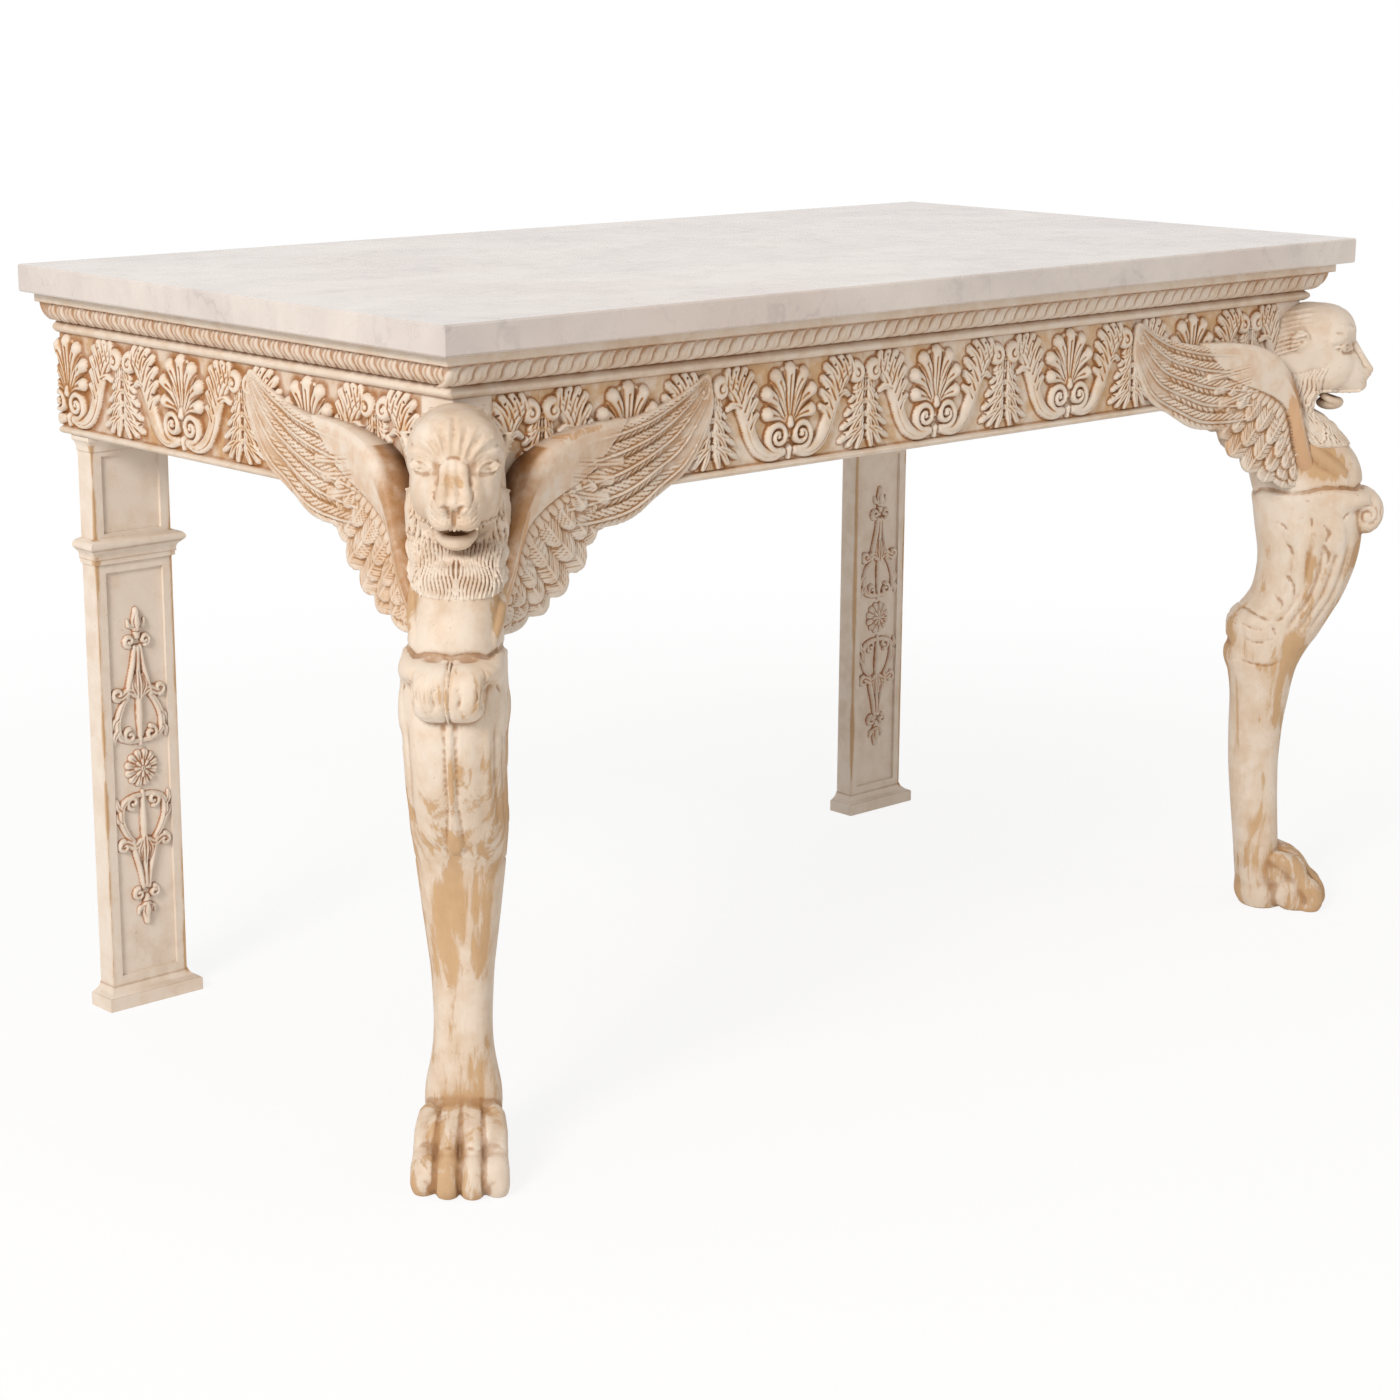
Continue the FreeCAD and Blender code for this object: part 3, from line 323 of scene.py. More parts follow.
class Panel:
    """Low carving on a flat ground, kept as heights over places along and up."""

    def __init__(self, low, high, step):
        self.a = np.linspace(low[0], high[0], int(round((high[0] - low[0]) / step)) + 1)
        self.b = np.linspace(low[1], high[1], int(round((high[1] - low[1]) / step)) + 1)
        self.h = np.zeros((len(self.a), len(self.b)))

    def near(self, path, margin):
        """The part of the panel round a path, the distance to the path and the share along it."""
        path = np.array(path, float)
        low, high = path.min(0) - margin, path.max(0) + margin
        span = tuple(slice(int(np.searchsorted(line, a)), int(np.searchsorted(line, b)))
                     for line, a, b in zip((self.a, self.b), low, high))
        x, z = self.a[span[0]][:, None], self.b[span[1]][None, :]
        best = np.full((x.shape[0], z.shape[1]), np.inf)
        share = np.zeros_like(best)
        runs = np.hypot(*(path[1:] - path[:-1]).T)
        marks = np.concatenate([[0], np.cumsum(runs)]) / max(runs.sum(), LEAST)
        for k, (p, q) in enumerate(zip(path, path[1:])):
            d = q - p
            along = np.clip(((x - p[0]) * d[0] + (z - p[1]) * d[1]) / (d @ d + LEAST), 0, 1)
            gap = np.hypot(x - p[0] - along * d[0], z - p[1] - along * d[1])
            closer = gap < best
            best = np.where(closer, gap, best)
            share = np.where(closer, marks[k] + along * (marks[k + 1] - marks[k]), share)
        return span, best, share

    def stroke(self, path, wide, tall):
        """The ground under a stroke of the gouge: distance, half width and height there."""
        span, gap, share = self.near(path, np.max(wide) + 1)
        half, rise = [np.interp(share, np.linspace(0, 1, np.size(row)), np.atleast_1d(row))
                      for row in (wide, tall)]
        return span, gap, half, rise

    def ridge(self, path, wide, tall, base=0.0, crown=0.5, soft=0.6):
        """Raises a rounded ridge whose half width and height follow the path."""
        span, gap, half, rise = self.stroke(path, wide, tall)
        form = np.maximum(1 - (gap / half) ** 2, 0) ** crown
        new = np.where(gap < half, base + rise * form, ABSENT)
        self.h[span] = -melt(-self.h[span], -new, soft)

    def groove(self, path, wide, deep):
        """Sinks a V-shaped cut along a path."""
        span, gap, half, sink = self.stroke(path, wide, deep)
        self.h[span] -= sink * np.maximum(1 - gap / half, 0)

    def drill(self, centre, radius, deep):
        """Sinks a round hole."""
        path = np.array([centre, (centre[0] + 0.01, centre[1])], float)
        span, gap, _ = self.near(path, radius + 1)
        self.h[span] -= deep * (1 - ease(gap, radius * 0.55, radius))

    def leaf(self, path, wide, tall, base=0.0, vein=0.35):
        """A leaflet: a ridge with a vein sunk along it."""
        self.ridge(path, wide, tall, base, 0.7)
        self.groove(path, np.array(wide) * 0.4, np.array(tall) * vein)

    def hollow(self):
        """How far each place lies below its neighbours, near and wide."""
        step = self.a[1] - self.a[0]
        near = smear(self.h, max(1, round(2.6 / step))) - self.h
        return near + 0.3 * (smear(self.h, round(8 / step)) - self.h)


def board(panel, back, cells=None):
    """A closed solid under a panel: its carved front, a flat back and walls between."""
    na, nb = panel.h.shape
    index = np.arange(na * nb).reshape(na, nb)
    front = np.stack([np.repeat(panel.a, nb), np.tile(panel.b, na), panel.h.ravel()], axis=1)
    rear = front.copy()
    rear[:, 2] = back
    quads = np.stack([index[:-1, :-1], index[1:, :-1], index[1:, 1:], index[:-1, 1:]], axis=2)
    hollow = panel.hollow().ravel()
    # A full panel has its walls round the rim.
    if cells is None:
        rim = np.concatenate([index[:, 0], index[-1, 1:], index[-2::-1, -1], index[0, -2:0:-1]])
        points = np.vstack([front, rear[rim]])
        ring = len(front) + np.arange(len(rim))
        ahead = np.roll(np.arange(len(rim)), -1)
        walls = np.stack([rim, ring, ring[ahead], rim[ahead]], axis=1)
        faces = quads.reshape(-1, 4).tolist() + walls.tolist() + [ring[::-1].tolist()]
        return points, faces, np.concatenate([hollow, np.zeros(len(rim))])
    # A pierced panel has them at every open edge, and its outline is smoothed.
    kept = quads[cells]
    edges = np.concatenate([kept[:, [0, 1]], kept[:, [1, 2]], kept[:, [2, 3]], kept[:, [3, 0]]])
    key = edges[:, 0] * (na * nb) + edges[:, 1]
    twin = edges[:, 1] * (na * nb) + edges[:, 0]
    open_edges = edges[~np.isin(key, twin)]
    walls = np.stack([open_edges[:, 1], open_edges[:, 0],
                      open_edges[:, 0] + na * nb, open_edges[:, 1] + na * nb], axis=1)
    faces = np.vstack([kept, kept[:, ::-1] + na * nb, walls])
    for _ in range(6):
        total, links = np.zeros_like(front), np.zeros(len(front))
        for one, two in ((0, 1), (1, 0)):
            np.add.at(total, open_edges[:, one], front[open_edges[:, two]])
            np.add.at(links, open_edges[:, one], 1)
        rim = links == 2
        front[rim] = 0.5 * front[rim] + 0.25 * total[rim]
    rear[:, :2] = front[:, :2]
    used, faces = np.unique(faces, return_inverse=True)
    points = np.vstack([front, rear])[used]
    return points, faces.reshape(-1, 4), np.concatenate([hollow, hollow * 0])[used]


def shape_piece(name, points, faces, hollow=None, rub=None, flip=False, smooth=True):
    """Makes a mesh object from points in metres, with its hollows and rubbed places."""
    mesh = bpy.data.meshes.new(name)
    faces = faces.tolist() if isinstance(faces, np.ndarray) else faces
    if flip:
        faces = [face[::-1] for face in faces]
    mesh.from_pydata(np.asarray(points).tolist(), [], faces)
    for label, values in (("hollow", hollow), ("rubbed", rub)):
        data = mesh.attributes.new(label, "FLOAT", "POINT")
        if values is not None:
            data.data.foreach_set("value", np.asarray(values, np.float32))
    if smooth:
        mesh.shade_smooth()
    mesh.update()
    item = bpy.data.objects.new(name, mesh)
    bpy.context.scene.collection.objects.link(item)
    return item


def settle(item, finish, *nodes):
    """Gives a finished piece its material and lets it stand for its CAD nodes."""
    item.data.materials.clear()
    item.data.materials.append(finish)
    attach(item, "root")
    if nodes:
        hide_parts(*nodes)
    return item


# The lion, carved in its own frame: x outward on the diagonal, y across, z up, in mm.
# The three rows give the leg's rear, front and half width at heights over the floor.

LEG_GRID, HEAD_GRID, BEARD_GRID = 1.86, 1.3, 1.0
LEAF_EDGE = 583
FRONT_FULLNESS, REAR_FULLNESS = 2.35, 2.1
KNEE_X, KNEE_Z, KNEE_DEEP, KNEE_TALL = 99, 553.5, 25, 30
CHEST, NECK_TOP, HEAD_TOP = 640, 716, 831.5
SPAN = 62
LEG_BACK = ((0, -34), (15, -37), (30, -45), (83, -50), (150, -58), (201, -63), (251, -65),
            (298, -65), (327, -69), (350, -75), (364, -76), (380, -74), (393, -74), (410, -69),
            (423, -58), (433, -47), (453, -40), (482, -37), (505, -36), (539, -42), (569, -46),
            (600, -55), (640, -64), (720, -80))
LEG_FRONT = ((0, 12), (80, 9.7), (151, 5.7), (202, 3.7), (259, 6.7), (302, 13.7), (322, 16.7),
             (345, 23), (362, 33), (384, 46.7), (413, 62.7), (435, 75.7), (462, 85.7), (488, 91.7),
             (514, 93.7), (549, 94.7), (598, 94.7), (617, 90.7), (635, 79.7), (649, 65.7),
             (670, 48.7), (681, 40.7), (688, 28), (700, 22), (720, 22))
LEG_HALF = ((0, 34), (40, 40), (90, 42), (135, 32.5), (167, 31), (222, 33.5), (276, 40), (330, 46),
            (382, 51), (435, 53), (518, 53), (560, 51), (585, 50), (640, 43), (650, 42), (700, 46),
            (720, 46))
LEAF_SLOTS = ((3.0, (66, 574), (73, 561), (66, 548)), (2.6, (40, 540), (47, 530), (43, 518)),
              (3.2, (42, 512), (49, 499), (47, 486)), (2.2, (-10, 516), (-3, 509), (2, 500)),
              (2.2, (-22, 541), (-13, 538), (-6, 530)), (2.6, (-6, 472), (4, 458), (6, 438)),
              (2.4, (-18, 442), (-10, 433), (-12, 422)), (2.0, (-26, 404), (-19, 397), (-15, 388)),
              (2.0, (14, 558), (22, 549), (24, 536)), (1.6, (-30, 570), (-6, 576), (20, 572)))


def table(rows, z):
    """Reads a curve given by a few heights, with its corners rounded."""
    heights, values = np.array(rows).T
    return sum(np.interp(z + shift, heights, values) for shift in (-12, -6, 0, 6, 12)) / 5


def trunk(clay):
    """The tall body of the leg and chest, a rounded section at every height."""
    x, y, z = clay.spots()
    back, front, half = table(LEG_BACK, z), table(LEG_FRONT, z), table(LEG_HALF, z)
    a, c = (front - back) / 2, (front + back) / 2
    across, out = np.abs(y) / half, (x - c) / a
    n = np.where(out > 0, FRONT_FULLNESS, REAR_FULLNESS)
    near = (np.abs(out) ** n + across ** n) ** (1 / n) + TINY
    slope = np.hypot((np.abs(out) / near) ** (n - 1) / a, (across / near) ** (n - 1) / half)
    clay.field = np.minimum(clay.field, (near - 1) / np.maximum(slope, 1e-4)).astype(np.float32)
    return np.degrees(np.arctan2(across, out))


def carve_leg():
    """Paw, shank, hock and the leaf-wrapped thigh with its scroll, up to the chest."""
    clay = Clay((-96, 0, -8), (132, SPAN, 662), LEG_GRID)
    turn = trunk(clay)
    z = clay.spots()[2]

    # Hock: two heavy bulges behind, with a crease between.
    clay.add(egg((-50, 0, 397), (24, 38, 25)), 8)
    clay.add(egg((-55, 0, 352), (20, 35, 20)), 8)
    clay.add_eggs((-30, 33, 394), (24, 15, 26), 9)
    clay.cut(limb([(-77, -40, 371), (-77, 40, 371)], 6.5), 4)

    # Leaf wrap: a raised skin with a lobed upper edge, fluted below, and a spike in front.
    edge = LEAF_EDGE + 4 * np.cos(np.radians(turn * 5)) - 8 * ease(turn, 95, 175)
    wrap = ease(edge - z, 0, 2.5) * ease(z, 440 + turn * 0.2, 520)
    quirk = 2.0 * np.exp(-((z - edge - 3.5) / 2.6) ** 2)
    flute = np.zeros_like(turn)
    for at, wide, deep in ((31, 7, 1.5), (49, 5, 3.0), (64, 5, 3.2), (79, 5, 3.2),
                           (95, 5, 2.6), (113, 6, 1.8)):
        flute += deep * np.exp(-((turn - at - (515 - z) * 0.03) / wide) ** 2)
    flute = flute * ease(z, 374, 405 + turn * 0.2) * (1 - ease(z, 500, 535))
    flare = 3.4 + 5.0 * (1 - ease(z, 368, 430))
    sharp = ease(z, 366, 369) * (1 - ease(z, 515, 530))
    gutter = 1.3 * np.exp(-((turn - flare - 2.6) / 2.4) ** 2)
    spike = (2.0 * np.exp(-(turn / flare) ** 4) - gutter) * sharp
    lobe = 10 * np.abs(np.sin(np.radians(turn * 3.5)))
    hem = 1.2 * ease(z, 366 + lobe, 372 + lobe)
    clay.field += (flute + quirk - 3.0 * wrap - spike
                   - hem * (1 - ease(turn, 60, 85))).astype(np.float32)

    # Creases of the hock.
    for line in (((-70, 424), (-52, 420), (-28, 410), (-8, 412)),
                 ((-72, 408), (-50, 398), (-30, 396)),
                 ((-72, 356), (-52, 350), (-26, 346), (-6, 352)),
                 ((-60, 384), (-40, 378), (-20, 384))):
        clay.score_flank(line, [1.0, 2.2, 1.0], 2)

    # Drilled slots and lobes of the leaf on the flank.
    for u, level, long, wide in ((54, 524, 15, 24), (26, 524, 13, 20), (2, 528, 12, 18),
                                 (12, 470, 9, 24)):
        clay.add(egg((u, clay.flank(u, level) - 4.5, level), (long, 6.0, wide)), 4)
    for thick, *line in LEAF_SLOTS:
        clay.score_flank(line, [thick * 0.5, thick, thick * 0.5], 1.0, -0.4)

    # Wing root: the smooth shoulder sweeps forward over the chest and ends on the leaf.
    line = ((-4, 656), (18, 640), (36, 626), (52, 615), (63, 605), (66, 594))
    clay.lay(clay.on_flank(line, -3.0), [10, 10, 9.5, 8.5, 7, 4], 3)

    # Scroll on the knee: a broad leaf rolled outward and parted by a rib.
    clay.add(barrel((KNEE_X, 0, KNEE_Z), (KNEE_DEEP, KNEE_TALL), 37, 22), 2)
    for side in (-1, 1):
        clay.add(egg((76, side * 30, 572), (28, 20, 14)), 6)
        clay.add(egg((62, side * 42, 571), (26, 12, 15)), 6)
    ends = coil((101, 550), 120, -360, 16, 4, 34)
    clay.score_flank(ends[::3], [1.4, 2.8, 2.8, 2.4], 1.2, 0.3)
    rib = [(KNEE_X + KNEE_DEEP * math.cos(t), 0, KNEE_Z + KNEE_TALL * math.sin(t))
           for t in np.radians(np.linspace(95, -85, 14))]
    clay.cut(limb(rib, 3.2), 3)
    clay.add(limb([(u - 1.2, v, level) for u, v, level in rib], 1.8), 1.2)
    for line, thick in ((((11, 562), (14, 554), (12, 544), (16, 537)), 2.2),
                        (((30, 562), (31, 553), (28, 546)), 2.0),
                        (((17, 531), (22, 528), (27, 529)), 1.8),
                        (((34, 578), (37, 572), (35, 566)), 1.6)):
        clay.score_front(line, [thick * 0.5, thick, thick * 0.5], 0.8, -0.4)
    clay.score_front(((2, 588), (14, 591), (26, 590), (36, 586), (44, 590)), [2.0, 2.6, 2.0], 2)

    # Paw: heel, pad and four stout toes, each of two joints.
    clay.add(egg((-8, 0, 20), (38, 40, 30)), 8)
    clay.add(egg((6, 0, 52), (34, 40, 34)), 8)
    clay.add(barrel((36, 0, 22), (34, 26), 47, 16), 5)
    clay.add(barrel((20, 0, 52), (28, 26), 44, 20), 6)
    for across, ahead in ((12.9, 2), (38, -6)):
        for side in (-1, 1):
            v = side * across
            upper = ((-2, 0.80, 74), (16, 0.90, 70), (33, 0.96, 59), (44, 1.0, 46))
            lower = ((46, 1.0, 40), (58, 1.02, 28), (62, 1.03, 14), (58, 1.02, 6))
            for joint, radii in ((upper, [7, 12, 13, 12]), (lower, [12, 13.4, 13.6, 12.5])):
                clay.add_limb([(out + ahead, v * spread, level) for out, spread, level in joint],
                              radii, 3)
    for across in (0.0, 25.6):
        cleft = ((0.8, 90), (0.9, 78), (1.0, 58), (1.02, 34), (1.02, 4))
        clay.score_front([(across * spread, level) for spread, level in cleft],
                         [0.6, 1.6, 2.2, 2.2, 2.0], 2, 0.8)
    for across in (12.9, 38):
        knuckle = ((across - 9, 50), (across, 52), (across + 9, 49))
        clay.score_front(knuckle, [0.6, 1.4, 0.6], 2, 0.7)
        nail = ((across - 5, 13), (across - 3, 19), (across + 3, 19), (across + 5, 13))
        clay.score_front(nail, [0.5, 1.1, 1.1, 0.5], 0.8, 0.4)
    clay.field = np.maximum(clay.field, -z)
    return clay


def strand(clay, line, radii, lift=0.4, flank=False):
    """One lock of hair along the surface."""
    spots = clay.on_flank(line, 0.0, 5) if flank else clay.on_front(line, 0.0, 5)
    clay.lay(spots + clay.outward(spots) * lift, radii, 0.4)


def shape_neck(clay):
    """The neck over the chest, before its hair."""
    trunk(clay)
    z = clay.spots()[2]
    clay.field = np.maximum(clay.field, np.maximum(CHEST - z, z - NECK_TOP))
    clay.field -= (4.0 * ease(z, CHEST, CHEST + 4)).astype(np.float32)
    clay.add(egg((-16, 0, 752), (54, 48, 70)), 10)
    clay.add_eggs((-8, 37, 712), (30, 13, 50), 8)


def cut_throat(clay):
    """Cuts the neck back under the jaw."""
    for out, level, thick in ((25, 703, 6), (27, 695, 9), (38, 689, 9), (52, 680, 10),
                              (66, 668, 9), (78, 655, 7)):
        clay.cut(limb([(out, -SPAN, level), (out, SPAN, level)], thick), 6)


def carve_beard():
    """Fine wavy hair under the chin and over the shoulders."""
    clay = Clay((-84, 0, 630), (100, SPAN, 706), BEARD_GRID)
    shape_neck(clay)
    cut_throat(clay)
    x, y, z = clay.spots()
    clay.field = np.maximum(clay.field, z - 697 + 3 * ease(-x, -30, 20))
    for k in range(18):
        start = 16 - k * 3.5
        wave = 1.5 * math.sin(k * 1.2)
        line = ((start - 2, 692), (start + 6 + wave, 682), (start + 15, 670),
                (start + 26 - wave, 657), (start + 35, 645 + 2 * (k % 2)))
        strand(clay, line, [0.9, 1.6, 1.7, 1.6, 0.8], 0.9, True)
    for k in range(13):
        levels = np.linspace(693.0 if k > 5 else 687.0, 643.5 + 1.5 * math.sin(k * 2.3), 9)
        lean = 0.93 + 0.07 * (693 - levels) / 50
        wave = k * 3.65 * lean + min(k, 1) * 1.8 * np.sin(levels * 0.19 + k * 0.3)
        strand(clay, tuple(zip(wave, levels)), [1.0, 1.5] + [1.6] * 5 + [1.5, 0.8], 1.1)
    clay.field = np.maximum(clay.field, -(x + y + 2) * ROOT2)
    return clay


def carve_head():
    """Head and neck, down to the smooth chest."""
    clay = Clay((-84, 0, 622), (112, SPAN, 840), HEAD_GRID)
    shape_neck(clay)
    x, y, z = clay.spots()

    # Skull, brow, cheeks, and the long flat nose over a narrow muzzle.
    clay.add(egg((14, 0, 779), (59, 50, 51)), 8)
    clay.add(egg((40, 0, 794), (34, 43, 33)), 8)
    clay.add_eggs((37, 29.5, 750), (30, 15.5, 33), 8)
    clay.add(egg((54, 0, 738), (36, 26, 32)), 8)
    clay.add_eggs((57, 19, 746), (25, 13, 29), 10)
    for side in (-1, 0, 1):
        clay.add_limb([(56, 5 * side, 798), (67, 7.5 * side, 785), (74, 8.5 * side, 773),
                       (84, 10 * side, 757), (93, 11.5 * side, 743)],
                      [6, 6, 6, 6, 6.5], 2.5)
    clay.add_eggs((86, 9.5, 740), (13, 10.5, 10.5), 3)
    clay.add_eggs((71, 14, 735), (20, 14, 18), 8)
    clay.add_eggs((75, 11, 723), (17.5, 14, 11), 4)
    for side in (-1, 1):
        clay.add_limb([(62, side * 9, 797), (62, side * 22, 792), (53, side * 37, 788),
                       (40, side * 46, 783)], [5, 5, 5, 3], 8)

    # Deep open mouth over a separate jaw with a rounded lip, and the throat cut back behind it.
    clay.cut(egg((68, 0, 708.5), (44, 17, 7.2)), 1.2)
    for out, level, thick in ((66, 710, 4.5), (50, 711.5, 4.0), (36, 713.5, 2.6)):
        clay.cut(limb([(out, -40, level), (out, 40, level)], thick), 1.5)
    cut_throat(clay)
    clay.field += (1.6 * (1 - ease(z, 682, 692))).astype(np.float32)
    clay.add(egg((47, 0, 697), (18, 17, 9.5)), 1.5)
    clay.add_limb([(35, -18.5, 708), (45, -17, 702.5), (55, -10.5, 699), (59, 0, 698),
                   (55, 10.5, 699), (45, 17, 702.5), (35, 18.5, 708)],
                  [4.0, 5.0, 5.6, 6.0, 5.6, 5.0, 4.0], 1.5)
    clay.cut(egg((48, 0, 706), (12, 11, 4)), 1)
    clay.score_front(((-15, 699), (-9, 696), (0, 694.8), (9, 696), (15, 699)),
                     [0.6, 1.1, 1.2, 1.1, 0.6], 0.6, 0.2)
    for side in np.linspace(-12, 12, 7):
        clay.add(egg((81 - abs(side) * 0.7, side, 714.5), (2.4, 1.7, 2.6)), 0.6)
    for side in (13.5, 15, 16.5):
        clay.add(egg((70 - (side - 13.5) * 6, side, 714), (2.4, 2.0, 3.2)), 0.6)

    # Eyes in shallow hollows between almond lids.
    for line, deep in ((((24, 769), (31, 768), (39, 769)), 2.8),
                       (((18, 762), (19, 770), (21, 776)), 2.2)):
        clay.score_front(line, deep, 5, 2.2)
    clay.add_eggs((clay.front(34.5, 774.5) - 6.2, 34.5, 774.5), (6.8, 10, 5.2), 1.0)
    for line in (((24, 772.5), (29, 778), (34.5, 780), (40, 778.5), (45.5, 774.5)),
                 ((24, 772.5), (29, 770), (35, 769), (40.5, 770.5), (45.5, 774.5))):
        clay.lay(clay.on_front(line, 0.5), [0.8, 1.2, 1.3, 1.2, 0.8], 0.5)
    clay.score_front(((22, 779), (28, 784), (35, 786.5), (43, 783)), [0.6, 1.2, 1.2, 0.6], 1.0, 0.2)

    # Nostrils, lip cleft, whiskers, and raised folds on the forehead.
    clay.score_front(((4.0, 732), (5.6, 736.5), (9.0, 739), (13.5, 738)),
                     [2.0, 3.3, 3.0, 1.2], 0.6, -0.8)
    clay.score_front(((0, 738), (0, 731), (0, 723), (0, 716)), [1.0, 1.7, 1.9, 1.4], 1.0, 0.2)
    clay.score_front(((9, 731), (14, 734), (18, 741), (20, 752)), [0.8, 1.6, 1.4, 0.8], 1.5, 0.2)
    for row, level in enumerate((728, 723, 718.5)):
        for col in range(4):
            v = 5.5 + col * 4.0 + row * 0.8
            up = level + col * 1.2
            clay.cut(egg((clay.front(v, up), v, up), (1.7, 1.0, 1.0)), 0.5)
    for level in (738, 732, 726):
        fold = ((17, level - 6), (22, level - 1), (27, level + 6))
        clay.score_front(fold, [0.5, 1.2, 0.5], 0.8, 0.2)
    clay.score_front(((-15, 776), (-8, 783), (0, 785), (8, 783), (15, 776)),
                     [0.8, 1.5, 1.7, 1.5, 0.8], 1.2, 0.3)
    clay.score_front(((0, 791), (0, 804), (0, 815), (0, 823)), [1.2, 2.8, 2.4, 1.0], 2.5, 1.4)
    for line, thick in ((((4.5, 789), (6, 803), (5, 819)), 2.6),
                        (((9, 784), (14, 799), (21, 812)), 3.2),
                        (((17, 784), (26, 796), (38, 802)), 3.4)):
        clay.lay(clay.on_front(line, -1.4), [thick * 0.7, thick, thick * 0.6], 2.0)
    for line in (((8, 788), (10, 801), (13, 814)), ((14, 786), (20, 797), (29, 807)),
                 ((24, 787), (34, 791), (44, 794))):
        clay.score_front(line, [1.2, 2.9, 1.2], 2.6, 1.4)

    # Small ears, and hair combed back over the skull.
    clay.add_eggs((-4, 46, 783), (11, 7, 12), 4)
    clay.add_limb([(-13, 46, 773), (-12, 51, 787), (-5, 53, 795), (4, 51, 791), (7, 48, 779)],
                  [2.4, 3.0, 3.2, 3.0, 2.2], 1.5)
    clay.cut(egg((-2, 54.5, 783), (5, 4, 6.5)), 2)
    for k in range(9):
        level = 825 - k * 6.5
        line = ((20 - k * 3.6, level), (4 - k * 3, level - 3), (-14 - k * 2, level - 7),
                (-38, level - 12))
        strand(clay, line, [1.0, 2.2, 2.2, 1.6], 0.6, True)

    # Mane: wavy locks behind the cheek and under it.
    for k in range(12):
        start = 26 - k * 5.4
        wave = 2.0 * math.sin(k * 0.9)
        line = ((start + 8, 748 - k * 1.2), (start + 1, 734), (start + wave, 720),
                (start - 6, 706), (start - 4 + wave, 692))
        strand(clay, line, [1.2, 2.4, 2.4, 2.2, 1.0], 0.9, True)
    for k in range(7):
        v = 21.8 + k * 4.4
        wave = [v + 1.6 * math.sin(turn + k * 0.9) for turn in (0.0, 1.0, 2.0, 3.0, 4.0)]
        strand(clay, tuple(zip(wave, (717, 710, 703, 696, 689))), [1.6, 2.2, 2.3, 2.2, 1.6], 0.9)

    # Hollow behind so that it sits on the corner of the frieze.
    clay.field = np.maximum(clay.field, np.minimum(-(x + y + 2) * ROOT2, z - 712))
    clay.field = np.maximum(clay.field, z - HEAD_TOP)
    return clay


def glance(points):
    """The left lion's slight turn of the head and leg toward the front."""
    moved = points.copy()
    turn = np.interp(points[:, 2], (0, 560, 640), (0.05, 0.03, 0.075))
    moved[:, 1] -= turn * points[:, 0] + np.interp(points[:, 2], (560, 640), (0.0, 3.0))
    return moved


def stand_lion(points):
    """From the lion's own frame to the right front corner of the table, in metres."""
    u, v, z = (points * MM).T
    return np.stack([FACE_X * MM + (u + v) * ROOT2, FACE_FRONT * MM + (v - u) * ROOT2, z], axis=1)


# Wings: feathers drawn over the distance w from the edge of the slab and the height z, in mm.

WEB_ROWS, WEB_COLS = 420, 620


def sweep(places, share):
    """A smooth edge through points, walked evenly."""
    line = np.array(bend(places, 24))
    walked = np.concatenate([[0], np.cumsum(np.hypot(*np.diff(line, axis=0).T))])
    return np.stack([np.interp(share, walked / walked[-1], line[:, i]) for i in (0, 1)], axis=1)


def web(panel, first, second):
    """Where each place of the panel lies between two edges: share across, share along."""
    share = np.linspace(0, 1, WEB_COLS)
    one, two = sweep(first, share), sweep(second, share)
    mix = np.linspace(0, 1, WEB_ROWS)[:, None, None]
    spot = one + (two - one) * mix
    step = panel.a[1] - panel.a[0]
    i = np.rint((spot[..., 0] - panel.a[0]) / step).astype(int)
    j = np.rint((spot[..., 1] - panel.b[0]) / step).astype(int)
    fits = (i >= 0) & (j >= 0) & (i < len(panel.a)) & (j < len(panel.b))
    flat = (i * len(panel.b) + j)[fits]
    size = panel.h.size
    count = np.bincount(flat, minlength=size)
    hits = np.maximum(count, 1)
    across = np.bincount(flat, np.broadcast_to(mix[..., 0], i.shape)[fits], size) / hits
    along = np.bincount(flat, np.broadcast_to(share, i.shape)[fits], size) / hits
    shape = panel.h.shape
    return across.reshape(shape), along.reshape(shape), (count > 0).reshape(shape)


PRIMARY_TOP = ((150, 770), (204, 785), (263, 789), (320, 799), (359, 812), (394, 829))
PRIMARY_FOOT = ((190, 682), (231, 680), (279, 685), (325, 706), (365, 728), (389, 760),
                (402, 792), (398, 824))
COVERT_ROOT = ((204, 742), (165, 726), (131, 712), (117, 700), (105, 676), (99, 652),
               (87, 622), (72, 596))
COVERT_TIP = ((240, 708), (229, 680), (215, 651), (185, 625), (152, 605), (115, 594),
              (92, 586), (74, 587))
SHOULDER_LEAD = ((50, 606), (64, 638), (79, 668), (91, 699), (108, 737), (133, 766), (168, 782),
                 (204, 789), (240, 792), (270, 793))
SHOULDER_INNER = ((62, 592), (83, 620), (97, 650), (106, 678), (120, 702), (150, 720),
                  (190, 734), (222, 746))


WING_GRID = 1.25
NO_FEATHER = -5.0
COVERT_ROWS = ((-0.1, 0.20, 19, 0.30), (0.06, 0.52, 8, 0.36), (0.36, 0.78, 7, 0.34),
               (0.62, 1.0, 6, 0.30))
WALL_SHADE = 3.3


def comb(value, period):
    """A row of fine cuts: 0 between them, 1 at each."""
    phase = np.abs((value / period) % 1.0 - 0.5) * 2
    return ease(phase, 0.45, 1.0)


